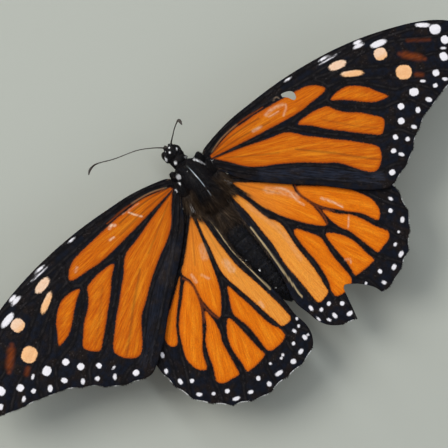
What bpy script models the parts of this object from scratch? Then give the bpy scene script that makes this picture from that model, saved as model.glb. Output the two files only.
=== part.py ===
"""A monarch butterfly at life size, wings spread, standing on its four walking legs.

Lengths in the tables are millimetres. Body coordinates have X to the butterfly's left,
Y towards its tail and Z up, with zero on the midline where the forewings are hinged.
The finished model stands on Z = 0 with its bounding box centred on the origin.
"""

import math

import bmesh
import bpy
import numpy as np
from mathutils import Matrix, Vector
from mathutils.geometry import delaunay_2d_cdt

MM = 0.001
HINGE_HEIGHT = 10.0      # forewing hinge above the floor
KNEE_GAP = 0.2           # air at a leg joint
WING_THICKNESS = 0.5
WING_LATTICE = 3.2       # spacing of the points inside a wing
LATTICE_MARGIN = {"outline": 0.45, "hole": 0.3}    # how far they keep off an edge, in spacings
LEFT, RIGHT = 1, -1

# Wings: U runs from the hinge towards the tip, V towards the leading edge.
FOREWING_COSTA = ((-1.3, 1.2), (0.0, 2.2), (5.0, 4.3), (10.0, 5.6), (16.0, 6.85), (22.0, 7.6), (28.0, 7.9),
                  (34.0, 7.65), (40.0, 6.8), (44.0, 5.9), (47.0, 4.8), (49.4, 3.4), (51.0, 1.7), (51.4, 0.2))
FOREWING_OUTER = ((51.2, -1.3), (50.2, -3.0), (48.4, -4.5), (45.5, -6.1), (42.8, -7.1), (40.0, -8.6),
                  (37.7, -9.7),
                  (36.0, -11.2), (33.8, -13.2), (32.4, -15.0), (30.8, -16.4), (28.9, -17.6), (27.0, -18.6))
FOREWING_INNER = ((25.0, -18.7), (20.0, -16.4), (15.0, -13.1), (10.0, -10.4), (6.0, -8.0), (3.0, -5.7),
                  (0.4, -2.9), (-1.1, -1.0))
HINDWING_COSTA = ((-1.1, 0.9), (0.6, 2.6), (4.0, 5.6), (8.5, 8.9), (13.0, 11.6), (18.0, 13.6), (21.5, 14.1))
HINDWING_OUTER = ((24.5, 13.4), (27.0, 12.3), (29.6, 10.5), (31.3, 8.9), (32.2, 7.2), (33.1, 5.2),
                  (33.8, 3.6),
                  (33.9, 2.0), (34.1, 0.6), (34.0, -1.2), (34.0, -2.8), (33.2, -4.6), (32.4, -6.2),
                  (31.7, -8.2),
                  (30.7, -10.4), (29.8, -11.8), (28.4, -13.1))
HINDWING_LOBE = ((26.3, -13.8), (24.2, -13.3), (22.2, -12.1))
HINDWING_INNER = ((19.1, -10.9), (15.4, -9.0), (8.8, -6.0), (3.6, -3.9), (0.6, -2.2), (-0.9, -0.8))
# The worn right hindwing has lost a wedge of its margin; these points replace the margin there.
TORN_EDGE = ((34.1, -3.6), (33.3, -5.0), (31.3, -4.9), (29.4, -5.2), (27.3, -5.9), (25.7, -6.9),
             (27.2, -8.3), (29.0, -9.7), (30.5, -10.9))
TEAR_LEFT_FROM, TEAR_LEFT_TO = -2.8, -10.4
# A hole through the front of the right forewing.
FOREWING_HOLE = ((15.5, 4.5), (16.6, 4.8), (17.9, 4.4), (18.2, 3.3), (17.6, 2.7), (16.7, 3.7))

SCALLOP_DEPTH = {"forewing": 0.22, "hindwing": 0.3}
SCALLOP_LENGTH = 3.6

# Per wing: hinge (x, y, z), sweep towards the tail in degrees, size along U and V,
# rise per unit out and per unit back. The right wings are a little smaller.
WINGS = {
    "forewing_left": dict(side=LEFT, hinge=(4.5, 0.0, 0.0), sweep=9.1, size=(1.0, 1.0), rise=(0.070, 0.040)),
    "forewing_right": dict(side=RIGHT, hinge=(4.5, 0.0, 0.0), sweep=12.9, size=(0.975, 0.96),
                           rise=(0.070, 0.040)),
    "hindwing_left": dict(side=LEFT, hinge=(4.2, 5.3, -0.9), sweep=68.8, size=(1.0, 1.0),
                          rise=(0.080, 0.040)),
    "hindwing_right": dict(side=RIGHT, hinge=(4.2, 5.3, -0.9), sweep=65.2, size=(0.98, 0.985),
                           rise=(0.080, 0.040)),
}
TIP_DROOP = {"forewing": 1.6, "hindwing": 0.9}     # how far the wing's end bends down
WING_REACH = {"forewing": 51.4, "hindwing": 34.0}
# The inner margins lie unevenly over the abdomen: pairs of U and shift along V.
INNER_SHIFT = {"hindwing_left": ((0.0, 0.0), (8.0, 0.8), (16.0, 0.3)),
               "hindwing_right": ((0.0, 0.0), (8.0, -0.7), (15.4, -1.5), (19.1, -2.5), (22.2, -2.1),
                                  (24.2, -1.4), (26.3, -0.8))}

# Trunk: stations of (x, y, z, half width, half height), from front to back.
HEAD = ((0.0, -3.95, -2.1, 0.95, 1.0), (0.0, -4.3, -2.05, 1.4, 1.4), (0.0, -5.0, -2.0, 1.6, 1.6),
        (0.0, -5.6, -2.0, 1.4, 1.45), (0.0, -6.0, -2.05, 0.95, 1.05), (0.0, -6.2, -2.1, 0.45, 0.6))
HEAD_YAW = 7.0
HEAD_PIVOT = (0.0, -4.0, -2.0)
EYE_AT, EYE_RADII = (1.05, -4.95, -2.05), (0.85, 1.1, 1.2)
EYE_GAP = 0.12
PROTHORAX = ((0.0, -3.65, -2.15, 0.9, 1.0), (0.0, -3.3, -2.1, 1.4, 1.4), (0.0, -2.85, -2.0, 1.55, 1.6),
             (0.0, -2.6, -1.95, 1.35, 1.4))
THORAX = ((0.0, -2.3, -1.8, 1.3, 1.4), (0.0, -1.7, -1.4, 2.1, 2.3), (0.0, -0.4, -1.0, 2.7, 3.2),
          (0.0, 1.6, -0.7, 2.95, 3.75), (0.0, 3.6, -0.8, 2.85, 3.6), (0.0, 5.4, -1.1, 2.6, 3.1),
          (0.0, 6.8, -1.5, 2.1, 2.4), (0.0, 7.7, -1.7, 1.5, 1.7))
ABDOMEN = ((0.0, 8.05, -1.75, 1.35, 1.4), (0.05, 9.2, -2.0, 2.0, 1.9), (0.1, 11.5, -2.4, 2.4, 2.25),
           (0.1, 14.5, -2.7, 2.47, 2.35), (-0.05, 18.0, -2.95, 2.37, 2.3), (-0.2, 21.5, -3.2, 2.25, 2.1),
           (-0.65, 25.0, -3.5, 2.1, 1.8), (-1.1, 27.6, -3.75, 1.65, 1.35), (-1.4, 29.0, -3.85, 0.75, 0.7))
ABDOMEN_SEGMENTS = 8
GROOVE, GROOVE_WIDTH = 0.05, 0.16    # a segment's groove: depth in radii, width in segment lengths

# Limbs: paths on the left side as (x, y, z, radius).
PALP = ((0.5, -5.95, -3.35, 0.28), (0.55, -6.5, -2.9, 0.36), (0.55, -6.75, -2.2, 0.33),
        (0.5, -6.7, -1.6, 0.25))
TEGULA_AT, TEGULA_RADII = (3.05, -1.55, 0.75), (0.55, 1.05, 0.4)
ANTENNA_LEFT = ((0.62, -6.15, -1.05, 0.27), (2.6, -7.5, 0.0, 0.25), (5.2, -8.8, 1.1, 0.25),
                (9.2, -9.9, 3.0, 0.25),
                (12.0, -10.9, 5.0, 0.27))
CLUB_LEFT = ((12.2, -10.97, 5.15, 0.3), (13.4, -11.05, 6.0, 0.4), (14.1, -10.8, 6.4, 0.42),
             (14.6, -10.35, 6.6, 0.3))
ANTENNA_RIGHT = ((-0.6, -6.15, -1.05, 0.27), (-0.85, -6.55, 1.3, 0.25), (-1.2, -7.0, 3.9, 0.25),
                 (-1.65, -7.55, 7.3, 0.25), (-2.0, -7.85, 10.4, 0.27))
CLUB_RIGHT = ((-2.03, -7.88, 10.65, 0.3), (-2.22, -7.9, 12.3, 0.4), (-2.15, -7.55, 13.3, 0.42),
              (-1.98, -7.0, 13.7, 0.3))
FORELEG = ((1.05, -1.6, -4.0, 0.3), (1.2, -2.7, -4.1, 0.3), (1.25, -3.6, -4.3, 0.28),
           (1.2, -4.05, -4.85, 0.26),
           (1.05, -3.6, -5.4, 0.25), (0.95, -2.5, -5.6, 0.25))
MIDLEG_COXA, MIDLEG_KNEE = (1.5, 1.4, -4.75), (6.4, -0.4, -4.3)
MIDLEG_ANKLE, MIDLEG_TOE = (10.0, -1.4, -9.3), (13.6, -2.6, -9.8)
HINDLEG_COXA, HINDLEG_KNEE = (1.5, 4.4, -4.7), (5.2, 8.6, -4.5)
HINDLEG_ANKLE, HINDLEG_TOE = (7.8, 12.8, -9.3), (9.2, 16.8, -9.8)
FEMUR_RADIUS, TIBIA_RADIUS, TARSUS_RADIUS = (0.5, 0.42), (0.34, 0.3), (0.3, 0.28)
LIMB_SWELL, SWELL_AT = 1.08, 0.4     # a limb is thickest a little before its middle
FOOT_START, FOOT_LANDING = 0.35, 0.35    # where the foot begins on the way down, and where it meets the floor
FOOT_MIDDLE = 0.6
SOLE = -HINGE_HEIGHT
COIL_CENTRE, COIL_RADII, COIL_TURNS, COIL_THICKNESS = (0.0, -5.5, -5.15), (0.45, 1.45), 1.75, 0.26
# Share of the inner length, half the gap there, points a length.
COIL_SPLIT, COIL_GAP, COIL_ROWS = 0.55, 0.03, 14

# From body coordinates in millimetres to metres above the floor.
TO_METRES = Matrix.Translation((0.0, 0.0, HINGE_HEIGHT * MM)) @ Matrix.Scale(MM, 4)
RING_SIDES = 18
TUBE_RESOLUTION = 2
SAME_POINT = 0.001       # points nearer than this are one, in millimetres
SHARP_ANGLE = 50.0

COLOURS = {
    "orange_scales": ((0.60, 0.17, 0.01), 0.62), "black_scales": ((0.02, 0.018, 0.02), 0.55),
    "black_cuticle": ((0.015, 0.013, 0.013), 0.32), "eye_facets": ((0.02, 0.014, 0.012), 0.18),
}


def clear_scene():
    """Removes every object of the startup scene."""
    for existing in list(bpy.data.objects):
        bpy.data.objects.remove(existing, do_unlink=True)


def make_material(name):
    """A Principled material from the colour table."""
    colour, roughness = COLOURS[name]
    material = bpy.data.materials.new(name)
    material.use_nodes = True
    shader = material.node_tree.nodes["Principled BSDF"]
    shader.inputs["Base Color"].default_value = (*colour, 1.0)
    shader.inputs["Roughness"].default_value = roughness
    shader.inputs["Metallic"].default_value = 0.0
    return material


def smooth_path(points, steps):
    """Catmull-Rom samples through rows of numbers, with `steps` samples between neighbours."""
    rows = np.array(points, float)
    padded = np.vstack([2 * rows[0] - rows[1], rows, 2 * rows[-1] - rows[-2]])
    samples = []
    for before, start, end, after in zip(padded, padded[1:], padded[2:], padded[3:]):
        for t in np.arange(steps) / steps:
            samples.append(0.5 * (2 * start + (end - before) * t
                                  + (2 * before - 5 * start + 4 * end - after) * t ** 2
                                  + (3 * start - before - 3 * end + after) * t ** 3))
    return np.array(samples + [rows[-1]])


def mirrored(points):
    """The same path on the other side of the body."""
    return [(-x, *rest) for x, *rest in points]


def yawed(points):
    """Points that belong to the head, turned with it a little to the butterfly's right."""
    angle = math.radians(HEAD_YAW)
    turned = []
    for x, y, *rest in points:
        dx, dy = x - HEAD_PIVOT[0], y - HEAD_PIVOT[1]
        turned.append((HEAD_PIVOT[0] + dx * math.cos(angle) + dy * math.sin(angle),
                       HEAD_PIVOT[1] - dx * math.sin(angle) + dy * math.cos(angle), *rest))
    return turned


def add_object(name, mesh, material):
    """Puts a mesh in millimetres into the collection as a named object in metres."""
    mesh.transform(TO_METRES)
    mesh.shade_smooth()
    mesh.set_sharp_from_angle(angle=math.radians(SHARP_ANGLE))
    mesh.materials.clear()
    mesh.materials.append(material)
    piece = bpy.data.objects.new(name, mesh)
    parts.objects.link(piece)
    return piece


def mesh_from(name, shape):
    """A mesh data block from a bmesh, with its faces pointing out."""
    bmesh.ops.recalc_face_normals(shape, faces=shape.faces)
    mesh = bpy.data.meshes.new(name)
    shape.to_mesh(mesh)
    shape.free()
    return mesh


def loft(name, stations, material, steps=3, profile=None):
    """A closed skin over upright elliptical rings along a path of (x, y, z, half width, half height)."""
    rings = smooth_path(stations, steps)
    if profile is not None:
        rings[:, 3:] *= profile(np.linspace(0.0, 1.0, len(rings)))[:, None]
    shape, loops = bmesh.new(), []
    tangents = np.gradient(rings[:, :3], axis=0)
    angles = [2 * math.pi * k / RING_SIDES for k in range(RING_SIDES)]
    up = Vector((0.0, 0.0, 1.0))
    for (x, y, z, half_width, half_height), tangent in zip(rings, tangents):
        side = Vector((tangent[0], tangent[1], 0.0)).normalized().cross(up)
        loops.append([shape.verts.new(Vector((x, y, z)) + side * (half_width * math.cos(a))
                                      + up * (half_height * math.sin(a))) for a in angles])
    for first, second in zip(loops, loops[1:]):
        for k in range(RING_SIDES):
            shape.faces.new((first[k], first[k - 1], second[k - 1], second[k]))
    shape.faces.new(loops[0])
    shape.faces.new(loops[-1])
    return add_object(name, mesh_from(name, shape), material)


def ellipsoid(name, centre, radii, material, segments=20, rings=12):
    """A UV sphere stretched to three radii."""
    shape = bmesh.new()
    bmesh.ops.create_uvsphere(shape, u_segments=segments, v_segments=rings, radius=1.0)
    bmesh.ops.scale(shape, vec=Vector(radii), verts=shape.verts)
    bmesh.ops.translate(shape, vec=Vector(centre), verts=shape.verts)
    return add_object(name, mesh_from(name, shape), material)


def tube(name, path, material, steps=4, sole=None):
    """A round limb along (x, y, z, radius), its underside cut flat where it would pass below `sole`."""
    rows = smooth_path(path, steps)
    curve = bpy.data.curves.new(name, "CURVE")
    curve.dimensions, curve.bevel_depth, curve.bevel_resolution = "3D", 1.0, TUBE_RESOLUTION
    curve.use_fill_caps = True
    spline = curve.splines.new("POLY")
    spline.points.add(len(rows) - 1)
    for point, row in zip(spline.points, rows):
        point.co = (*row[:3], 1.0)
        point.radius = row[3]
    guide = bpy.data.objects.new(name + "_guide", curve)
    parts.objects.link(guide)
    bpy.context.view_layer.update()
    mesh = bpy.data.meshes.new_from_object(guide.evaluated_get(bpy.context.evaluated_depsgraph_get()))
    bpy.data.objects.remove(guide)
    shape = bmesh.new()
    shape.from_mesh(mesh)
    bmesh.ops.remove_doubles(shape, verts=shape.verts, dist=SAME_POINT)
    if sole is not None:
        everything = list(shape.verts) + list(shape.edges) + list(shape.faces)
        cut = bmesh.ops.bisect_plane(shape, geom=everything, plane_co=(0, 0, sole), plane_no=(0, 0, 1),
                                     clear_inner=True)
        rim = [item for item in cut["geom_cut"] if isinstance(item, bmesh.types.BMEdge)]
        bmesh.ops.holes_fill(shape, edges=rim)
    return add_object(name, mesh_from(name, shape), material)


def scalloped(points, depth):
    """A margin that dips a little between its vein ends, as a row of shallow arcs."""
    rows = smooth_path(points, 4)
    steps = np.linalg.norm(np.diff(rows, axis=0), axis=1)
    along = np.concatenate([[0.0], np.cumsum(steps)])
    count = max(1, round(along[-1] / SCALLOP_LENGTH))
    tangent = np.gradient(rows, axis=0)
    inward = np.stack([tangent[:, 1], -tangent[:, 0]], axis=1)
    inward /= np.linalg.norm(inward, axis=1)[:, None]
    dip = depth * np.abs(np.sin(math.pi * count * along / along[-1]))
    return rows + inward * dip[:, None]


def torn(outer):
    """The hindwing's margin with a wedge missing."""
    before = [p for p in outer if p[1] > TEAR_LEFT_FROM]
    after = [p for p in outer if p[1] < TEAR_LEFT_TO]
    return before, after


def wing_outline(name):
    """The closed outline of one wing in its own U and V."""
    if name.startswith("forewing"):
        edges = [smooth_path(FOREWING_COSTA, 2), scalloped(FOREWING_OUTER, SCALLOP_DEPTH["forewing"]),
                 smooth_path(FOREWING_INNER, 3)]
        return np.vstack(edges)
    reach, shift = zip(*INNER_SHIFT[name])
    inner = [(u, v + np.interp(u, reach, shift)) for u, v in HINDWING_INNER]
    lobe = [(u, v + np.interp(u, reach, shift)) for u, v in HINDWING_LOBE]
    depth = SCALLOP_DEPTH["hindwing"]
    if name.endswith("left"):
        margin = [scalloped(HINDWING_OUTER, depth)]
    else:
        before, after = torn(HINDWING_OUTER)
        margin = [scalloped(before, depth), np.array(TORN_EDGE), smooth_path(after, 2)]
    return np.vstack([smooth_path(HINDWING_COSTA, 3), *margin, smooth_path(lobe, 3), smooth_path(inner, 3)])


def inside(points, loop):
    """Which points lie inside a closed loop, by counting the edges crossed along U."""
    start, end = loop, np.roll(loop, -1, axis=0)
    u, v = points[:, :1], points[:, 1:]
    spans = (start[:, 1] > v) != (end[:, 1] > v)
    rise = np.where(end[:, 1] == start[:, 1], 1.0, end[:, 1] - start[:, 1])
    crossing = start[:, 0] + (v - start[:, 1]) / rise * (end[:, 0] - start[:, 0])
    return (spans & (u < crossing)).sum(axis=1) % 2 == 1


def clearance(points, loop):
    """Distance from each point to the nearest corner of the loop."""
    return np.linalg.norm(points[:, None] - loop[None], axis=2).min(axis=1)


def wing_net(outline, hole):
    """Triangles that fill the outline, with a lattice of points inside so that the wing can bend."""
    low, high = outline.min(axis=0), outline.max(axis=0)
    grid = np.stack(np.meshgrid(np.arange(low[0], high[0], WING_LATTICE),
                                np.arange(low[1], high[1], WING_LATTICE)), axis=-1).reshape(-1, 2)
    keep = inside(grid, outline) & (clearance(grid, outline) > LATTICE_MARGIN["outline"] * WING_LATTICE)
    loops = [outline]
    if hole is not None:
        keep &= ~inside(grid, hole) & (clearance(grid, hole) > LATTICE_MARGIN["hole"] * WING_LATTICE)
        loops.append(hole)
    points, edges = np.vstack([*loops, grid[keep]]), []
    start = 0
    for loop in loops:
        edges += [(start + k, start + (k + 1) % len(loop)) for k in range(len(loop))]
        start += len(loop)
    found = delaunay_2d_cdt([Vector(p) for p in points], edges, [], 1, 1e-6)
    verts, faces = np.array([tuple(v) for v in found[0]]), np.array(found[2])
    centres = verts[faces].mean(axis=1)
    use = inside(centres, outline)
    if hole is not None:
        use &= ~inside(centres, hole)
    return verts, faces[use]


def place_on_wing(points, wing, kind):
    """Body coordinates of wing points: swept, raised by the wing's slope, drooping towards its end."""
    sweep = math.radians(wing["sweep"])
    u, v = points[:, 0] * wing["size"][0], points[:, 1] * wing["size"][1]
    out = u * math.cos(sweep) + v * math.sin(sweep)
    back = u * math.sin(sweep) - v * math.cos(sweep)
    reach = np.clip(points[:, 0] / WING_REACH[kind], 0.0, 1.0)
    rise = wing["rise"][0] * out + wing["rise"][1] * back - TIP_DROOP[kind] * reach ** 3
    x, y, z = wing["hinge"]
    return np.stack([wing["side"] * (x + out), y + back, z + rise], axis=1)


def make_wing(name, material):
    """One wing blade: its net of triangles laid in place and thickened."""
    wing, kind = WINGS[name], name.split("_")[0]
    hole = np.array(FOREWING_HOLE) if name == "forewing_right" else None
    flat, faces = wing_net(wing_outline(name), hole)
    middle = place_on_wing(flat, wing, kind)
    half = np.array([0.0, 0.0, WING_THICKNESS / 2])
    shape = bmesh.new()
    top = [shape.verts.new(p) for p in middle + half]
    bottom = [shape.verts.new(p) for p in middle - half]
    for a, b, c in faces:
        shape.faces.new((top[a], top[b], top[c]))
        shape.faces.new((bottom[a], bottom[c], bottom[b]))
    partner = {first: second for first, second in zip(top, bottom)}
    for edge in [e for e in shape.edges if len(e.link_faces) == 1 and e.verts[0] in partner]:
        first, second = edge.verts
        shape.faces.new((first, second, partner[second], partner[first]))
    loose = [vert for vert in shape.verts if not vert.link_faces]
    bmesh.ops.delete(shape, geom=loose, context="VERTS")
    return add_object(name, mesh_from(name, shape), material)


def make_wings(materials):
    """The four wings."""
    for name in WINGS:
        make_wing(name, materials["orange_scales"])


def segment_rings(share):
    """The abdomen's plates: each swells a little and ends in a groove."""
    phase = (share * ABDOMEN_SEGMENTS) % 1.0
    return 1.0 - GROOVE * np.exp(-((phase - 0.5) / GROOVE_WIDTH) ** 2)


def make_trunk(materials):
    """Prothorax, thorax and abdomen."""
    loft("prothorax", PROTHORAX, materials["black_scales"])
    loft("thorax", THORAX, materials["black_scales"])
    loft("abdomen", ABDOMEN, materials["black_scales"], steps=4, profile=segment_rings)


def cut_socket(head, centre):
    """Cuts the head back round one eye, leaving a thin gap."""
    cutter = ellipsoid("eye_socket", centre, [r + EYE_GAP for r in EYE_RADII], head.data.materials[0])
    parts.objects.unlink(cutter)
    cutters.objects.link(cutter)
    cutter.hide_render, cutter.display_type = True, "WIRE"
    cut = head.modifiers.new("socket", "BOOLEAN")
    cut.operation, cut.object = "DIFFERENCE", cutter


def make_head(materials):
    """Head with its eyes, palps, coiled proboscis and feelers."""
    head = loft("head", yawed(HEAD), materials["black_scales"])
    for label, side in (("left", LEFT), ("right", RIGHT)):
        centre = yawed([(side * EYE_AT[0], *EYE_AT[1:])])[0]
        ellipsoid(f"eye_{label}", centre, EYE_RADII, materials["eye_facets"])
        cut_socket(head, centre)
        palp = PALP if side == LEFT else mirrored(PALP)
        tube(f"palp_{label}", yawed(palp), materials["black_scales"], steps=3)
    make_proboscis(materials["black_cuticle"])
    for label, shaft, club in (("left", ANTENNA_LEFT, CLUB_LEFT), ("right", ANTENNA_RIGHT, CLUB_RIGHT)):
        tube(f"antenna_{label}_shaft", shaft, materials["black_cuticle"], steps=4)
        tube(f"antenna_{label}_club", club, materials["black_cuticle"], steps=3)


def coil_path(start, end):
    """Rows along the proboscis between two shares of its spiral, which widens outwards from its centre."""
    rows = []
    for share in np.linspace(start, end, COIL_ROWS):
        angle = 2 * math.pi * COIL_TURNS * (1.0 - share) + math.pi / 2
        radius = COIL_RADII[0] + (COIL_RADII[1] - COIL_RADII[0]) * share
        rows.append((COIL_CENTRE[0], COIL_CENTRE[1] - radius * math.cos(angle),
                     COIL_CENTRE[2] + radius * math.sin(angle), COIL_THICKNESS))
    return rows


def make_proboscis(material):
    """The watch-spring coil under the head, in an inner and an outer length."""
    tube("proboscis_inner", coil_path(0.0, COIL_SPLIT - COIL_GAP), material, steps=1)
    tube("proboscis_outer", coil_path(COIL_SPLIT + COIL_GAP, 1.0), material, steps=1)


def shortened(start, end, radii, trim):
    """A straight limb between two joints, trimmed at both, as rows of (x, y, z, radius)."""
    start, end = Vector(start), Vector(end)
    along = (end - start).normalized()
    first, last = start + along * trim[0], end - along * trim[1]
    middle = first.lerp(last, SWELL_AT)
    return [(*first, radii[0]), (*middle, LIMB_SWELL * max(radii)), (*last, radii[1])]


def make_leg(name, side, joints, material):
    """Femur, tibia and tarsus of one walking leg; the tarsus lies flat on the floor."""
    coxa, knee, ankle, toe = ((side * x, y, z) for x, y, z in joints)
    tube(f"{name}_femur", shortened(coxa, knee, FEMUR_RADIUS, (0.0, KNEE_GAP)), material, steps=3)
    tube(f"{name}_tibia", shortened(knee, ankle, TIBIA_RADIUS, (2 * KNEE_GAP, KNEE_GAP)), material, steps=3)
    tube(f"{name}_tarsus", tarsus_rows(ankle, toe), material, steps=3, sole=SOLE)


def tarsus_rows(ankle, toe):
    """The foot: down from the ankle, then level along the floor to the toe."""
    ankle, toe = Vector(ankle), Vector(toe)
    landing = ankle.lerp(toe, FOOT_LANDING)
    landing.z = toe.z
    start = ankle.lerp(landing, FOOT_START)
    return [(*start, TARSUS_RADIUS[0]), (*landing, TARSUS_RADIUS[0]),
            (*landing.lerp(toe, FOOT_MIDDLE), TARSUS_RADIUS[1]), (*toe, TARSUS_RADIUS[1])]


def make_legs(materials):
    """Four walking legs, and the small folded forelegs of the brush-footed butterflies."""
    material = materials["black_cuticle"]
    for label, side in (("left", LEFT), ("right", RIGHT)):
        tube(f"foreleg_{label}", FORELEG if side == LEFT else mirrored(FORELEG), material, steps=3)
        make_leg(f"midleg_{label}", side, (MIDLEG_COXA, MIDLEG_KNEE, MIDLEG_ANKLE, MIDLEG_TOE), material)
        make_leg(f"hindleg_{label}", side, (HINDLEG_COXA, HINDLEG_KNEE, HINDLEG_ANKLE, HINDLEG_TOE), material)
        centre = (side * TEGULA_AT[0], *TEGULA_AT[1:])
        ellipsoid(f"tegula_{label}", centre, TEGULA_RADII, materials["black_scales"], segments=14, rings=8)


def centre_on_floor():
    """Moves every piece sideways so that the whole model's box is centred on the origin."""
    corners = np.array([v.co[:] for piece in parts.objects for v in piece.data.vertices])
    middle = (corners.min(axis=0) + corners.max(axis=0)) / 2
    shift = Vector((-middle[0], -middle[1], 0.0))
    for piece in [*parts.objects, *cutters.objects]:
        piece.data.vertices.foreach_set("co", np.array([v.co + shift for v in piece.data.vertices]).ravel())


clear_scene()
parts = bpy.data.collections.new("monarch_butterfly")
cutters = bpy.data.collections.new("cutters")
bpy.context.scene.collection.children.link(parts)
bpy.context.scene.collection.children.link(cutters)
finishes = {name: make_material(name) for name in COLOURS}
make_trunk(finishes)
make_head(finishes)
make_legs(finishes)
make_wings(finishes)
centre_on_floor()
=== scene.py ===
"""A monarch butterfly at life size, standing with its wings spread.

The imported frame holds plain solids; this script lays the fine surface over them. Body coordinates
are millimetres, X to the butterfly's left, Y towards its tail and Z up, with zero on the midline
between the forewing hinges. A wing has its own U, from hinge to tip, and V, towards its leading edge.
"""

import logging
import math
from collections.abc import Callable, Sequence
from dataclasses import dataclass, field, replace
from enum import Enum
from typing import ClassVar

import bpy
import numpy as np
from mathutils import Matrix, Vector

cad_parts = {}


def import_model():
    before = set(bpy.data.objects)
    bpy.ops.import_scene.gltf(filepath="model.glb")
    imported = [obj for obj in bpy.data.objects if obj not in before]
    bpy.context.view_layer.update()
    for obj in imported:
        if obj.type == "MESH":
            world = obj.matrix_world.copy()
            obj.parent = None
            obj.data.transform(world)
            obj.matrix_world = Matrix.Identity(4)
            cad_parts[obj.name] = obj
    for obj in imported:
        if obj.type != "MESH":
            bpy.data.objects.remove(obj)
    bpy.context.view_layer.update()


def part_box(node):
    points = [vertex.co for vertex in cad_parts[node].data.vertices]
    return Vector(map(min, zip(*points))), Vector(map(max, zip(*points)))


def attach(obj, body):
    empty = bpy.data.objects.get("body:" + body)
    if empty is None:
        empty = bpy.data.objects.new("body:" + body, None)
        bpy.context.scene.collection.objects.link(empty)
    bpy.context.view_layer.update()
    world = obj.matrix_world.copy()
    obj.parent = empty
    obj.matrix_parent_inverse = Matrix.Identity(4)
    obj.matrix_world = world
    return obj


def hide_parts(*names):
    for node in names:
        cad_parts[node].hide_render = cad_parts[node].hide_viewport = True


log = logging.getLogger("monarch")
Array = np.ndarray
Rows = Sequence[Sequence[float]]
Pair = tuple[float, float]
Place = tuple[float, float, float]
Material = bpy.types.Material
Socket = bpy.types.NodeSocket
Shape = tuple[Array, list[Array]]            # vertices and face arrays
At = Callable[[Array], Array]                # what a place has, from body coordinates

MM = 0.001
THORAX_FRONT = -2.3          # Y of the thorax's front edge
HINGE_HEIGHT = 10.0          # of the forewing hinges above the floor
UP = (0.0, 0.0, 1.0)
CHUNK = 3000                 # points measured at a time, which bounds the memory
OUTSIDE = -9.0               # depth of a point that is far outside every marking
PATCH = 0.003                # side of a tuft's patch on its unwrap
BORDER = 0.02                # free edge round an unwrap
ROOT_DEPTH = 0.02            # how far a tuft's root is sunk into the skin


class Side(Enum):
    """The butterfly's own left and right."""

    LEFT = 1
    RIGHT = -1

    @property
    def label(self) -> str:
        """The side's name in a piece's name."""
        return self.name.lower()


# ---------------------------------------------------------------- places and curves


@dataclass(frozen=True)
class BodySpace:
    """Where body coordinates lie in the frame.

    Attributes:
        origin: the body's zero in metres.
    """

    origin: Place

    @classmethod
    def from_frame(cls) -> "BodySpace":
        """Finds the body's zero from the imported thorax."""
        low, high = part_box("thorax")
        return cls(((low[0] + high[0]) / 2, low[1] - THORAX_FRONT * MM, HINGE_HEIGHT * MM))

    def place(self, points: Array) -> Array:
        """Body millimetres as frame metres."""
        return np.asarray(points, float) * MM + np.array(self.origin)


def unit(rows: Array) -> Array:
    """Rows scaled to length one."""
    return rows / np.maximum(np.linalg.norm(rows, axis=-1, keepdims=True), 1e-9)


def ease(values: Array, low: float, high: float) -> Array:
    """Zero below `low`, one above `high` and a smooth S between."""
    share = np.clip((values - low) / (high - low), 0.0, 1.0)
    return share * share * (3.0 - 2.0 * share)


def fall(values: Array, low: float, high: float) -> Array:
    """One below `low`, zero above `high` and a smooth S between."""
    return 1.0 - ease(values, low, high)


def framed(share: Array) -> Array:
    """Shares of an unwrap's side kept clear of its border."""
    return BORDER + (1.0 - 2.0 * BORDER) * share


def catmull(padded: Array, steps: int) -> Array:
    """Catmull-Rom samples between the inner rows of a padded list.

    Between rows b and c, with a before and d after, the curve is
    half of 2b + (c-a)t + (2a-5b+4c-d)t^2 + (3b-a-3c+d)t^3.
    """
    t = (np.arange(steps) / steps)[None, :, None]
    a, b, c, d = (padded[k:len(padded) - 3 + k, None] for k in range(4))
    curve = 0.5 * (2 * b + (c - a) * t + (2 * a - 5 * b + 4 * c - d) * t ** 2
                   + (3 * b - a - 3 * c + d) * t ** 3)
    return curve.reshape(-1, padded.shape[1])


def smooth_path(points: Rows, steps: int) -> Array:
    """An open smooth curve through rows of numbers, `steps` samples between neighbours."""
    rows = np.asarray(points, float)
    padded = np.vstack([2 * rows[0] - rows[1], rows, 2 * rows[-1] - rows[-2]])
    return np.vstack([catmull(padded, steps), rows[-1:]])


def smooth_loop(points: Rows, steps: int) -> Array:
    """A closed smooth curve through the points, with its first point repeated at the end."""
    rows = np.asarray(points, float)
    curve = catmull(np.vstack([rows[-1:], rows, rows[:2]]), steps)
    return np.vstack([curve, curve[:1]])


def sample(path: Array, at: Array, stations: Array) -> Array:
    """Places on a path at the numbers `at`, where its corners have the numbers `stations`."""
    return np.stack([np.interp(at, stations, column) for column in path.T], axis=1)


@dataclass
class Nearest:
    """What is nearest on a path to each of many points.

    Attributes:
        distance: how far it is.
        along: arc length from the path's start.
        point: the place on the path.
    """

    distance: Array
    along: Array
    point: Array


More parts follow.
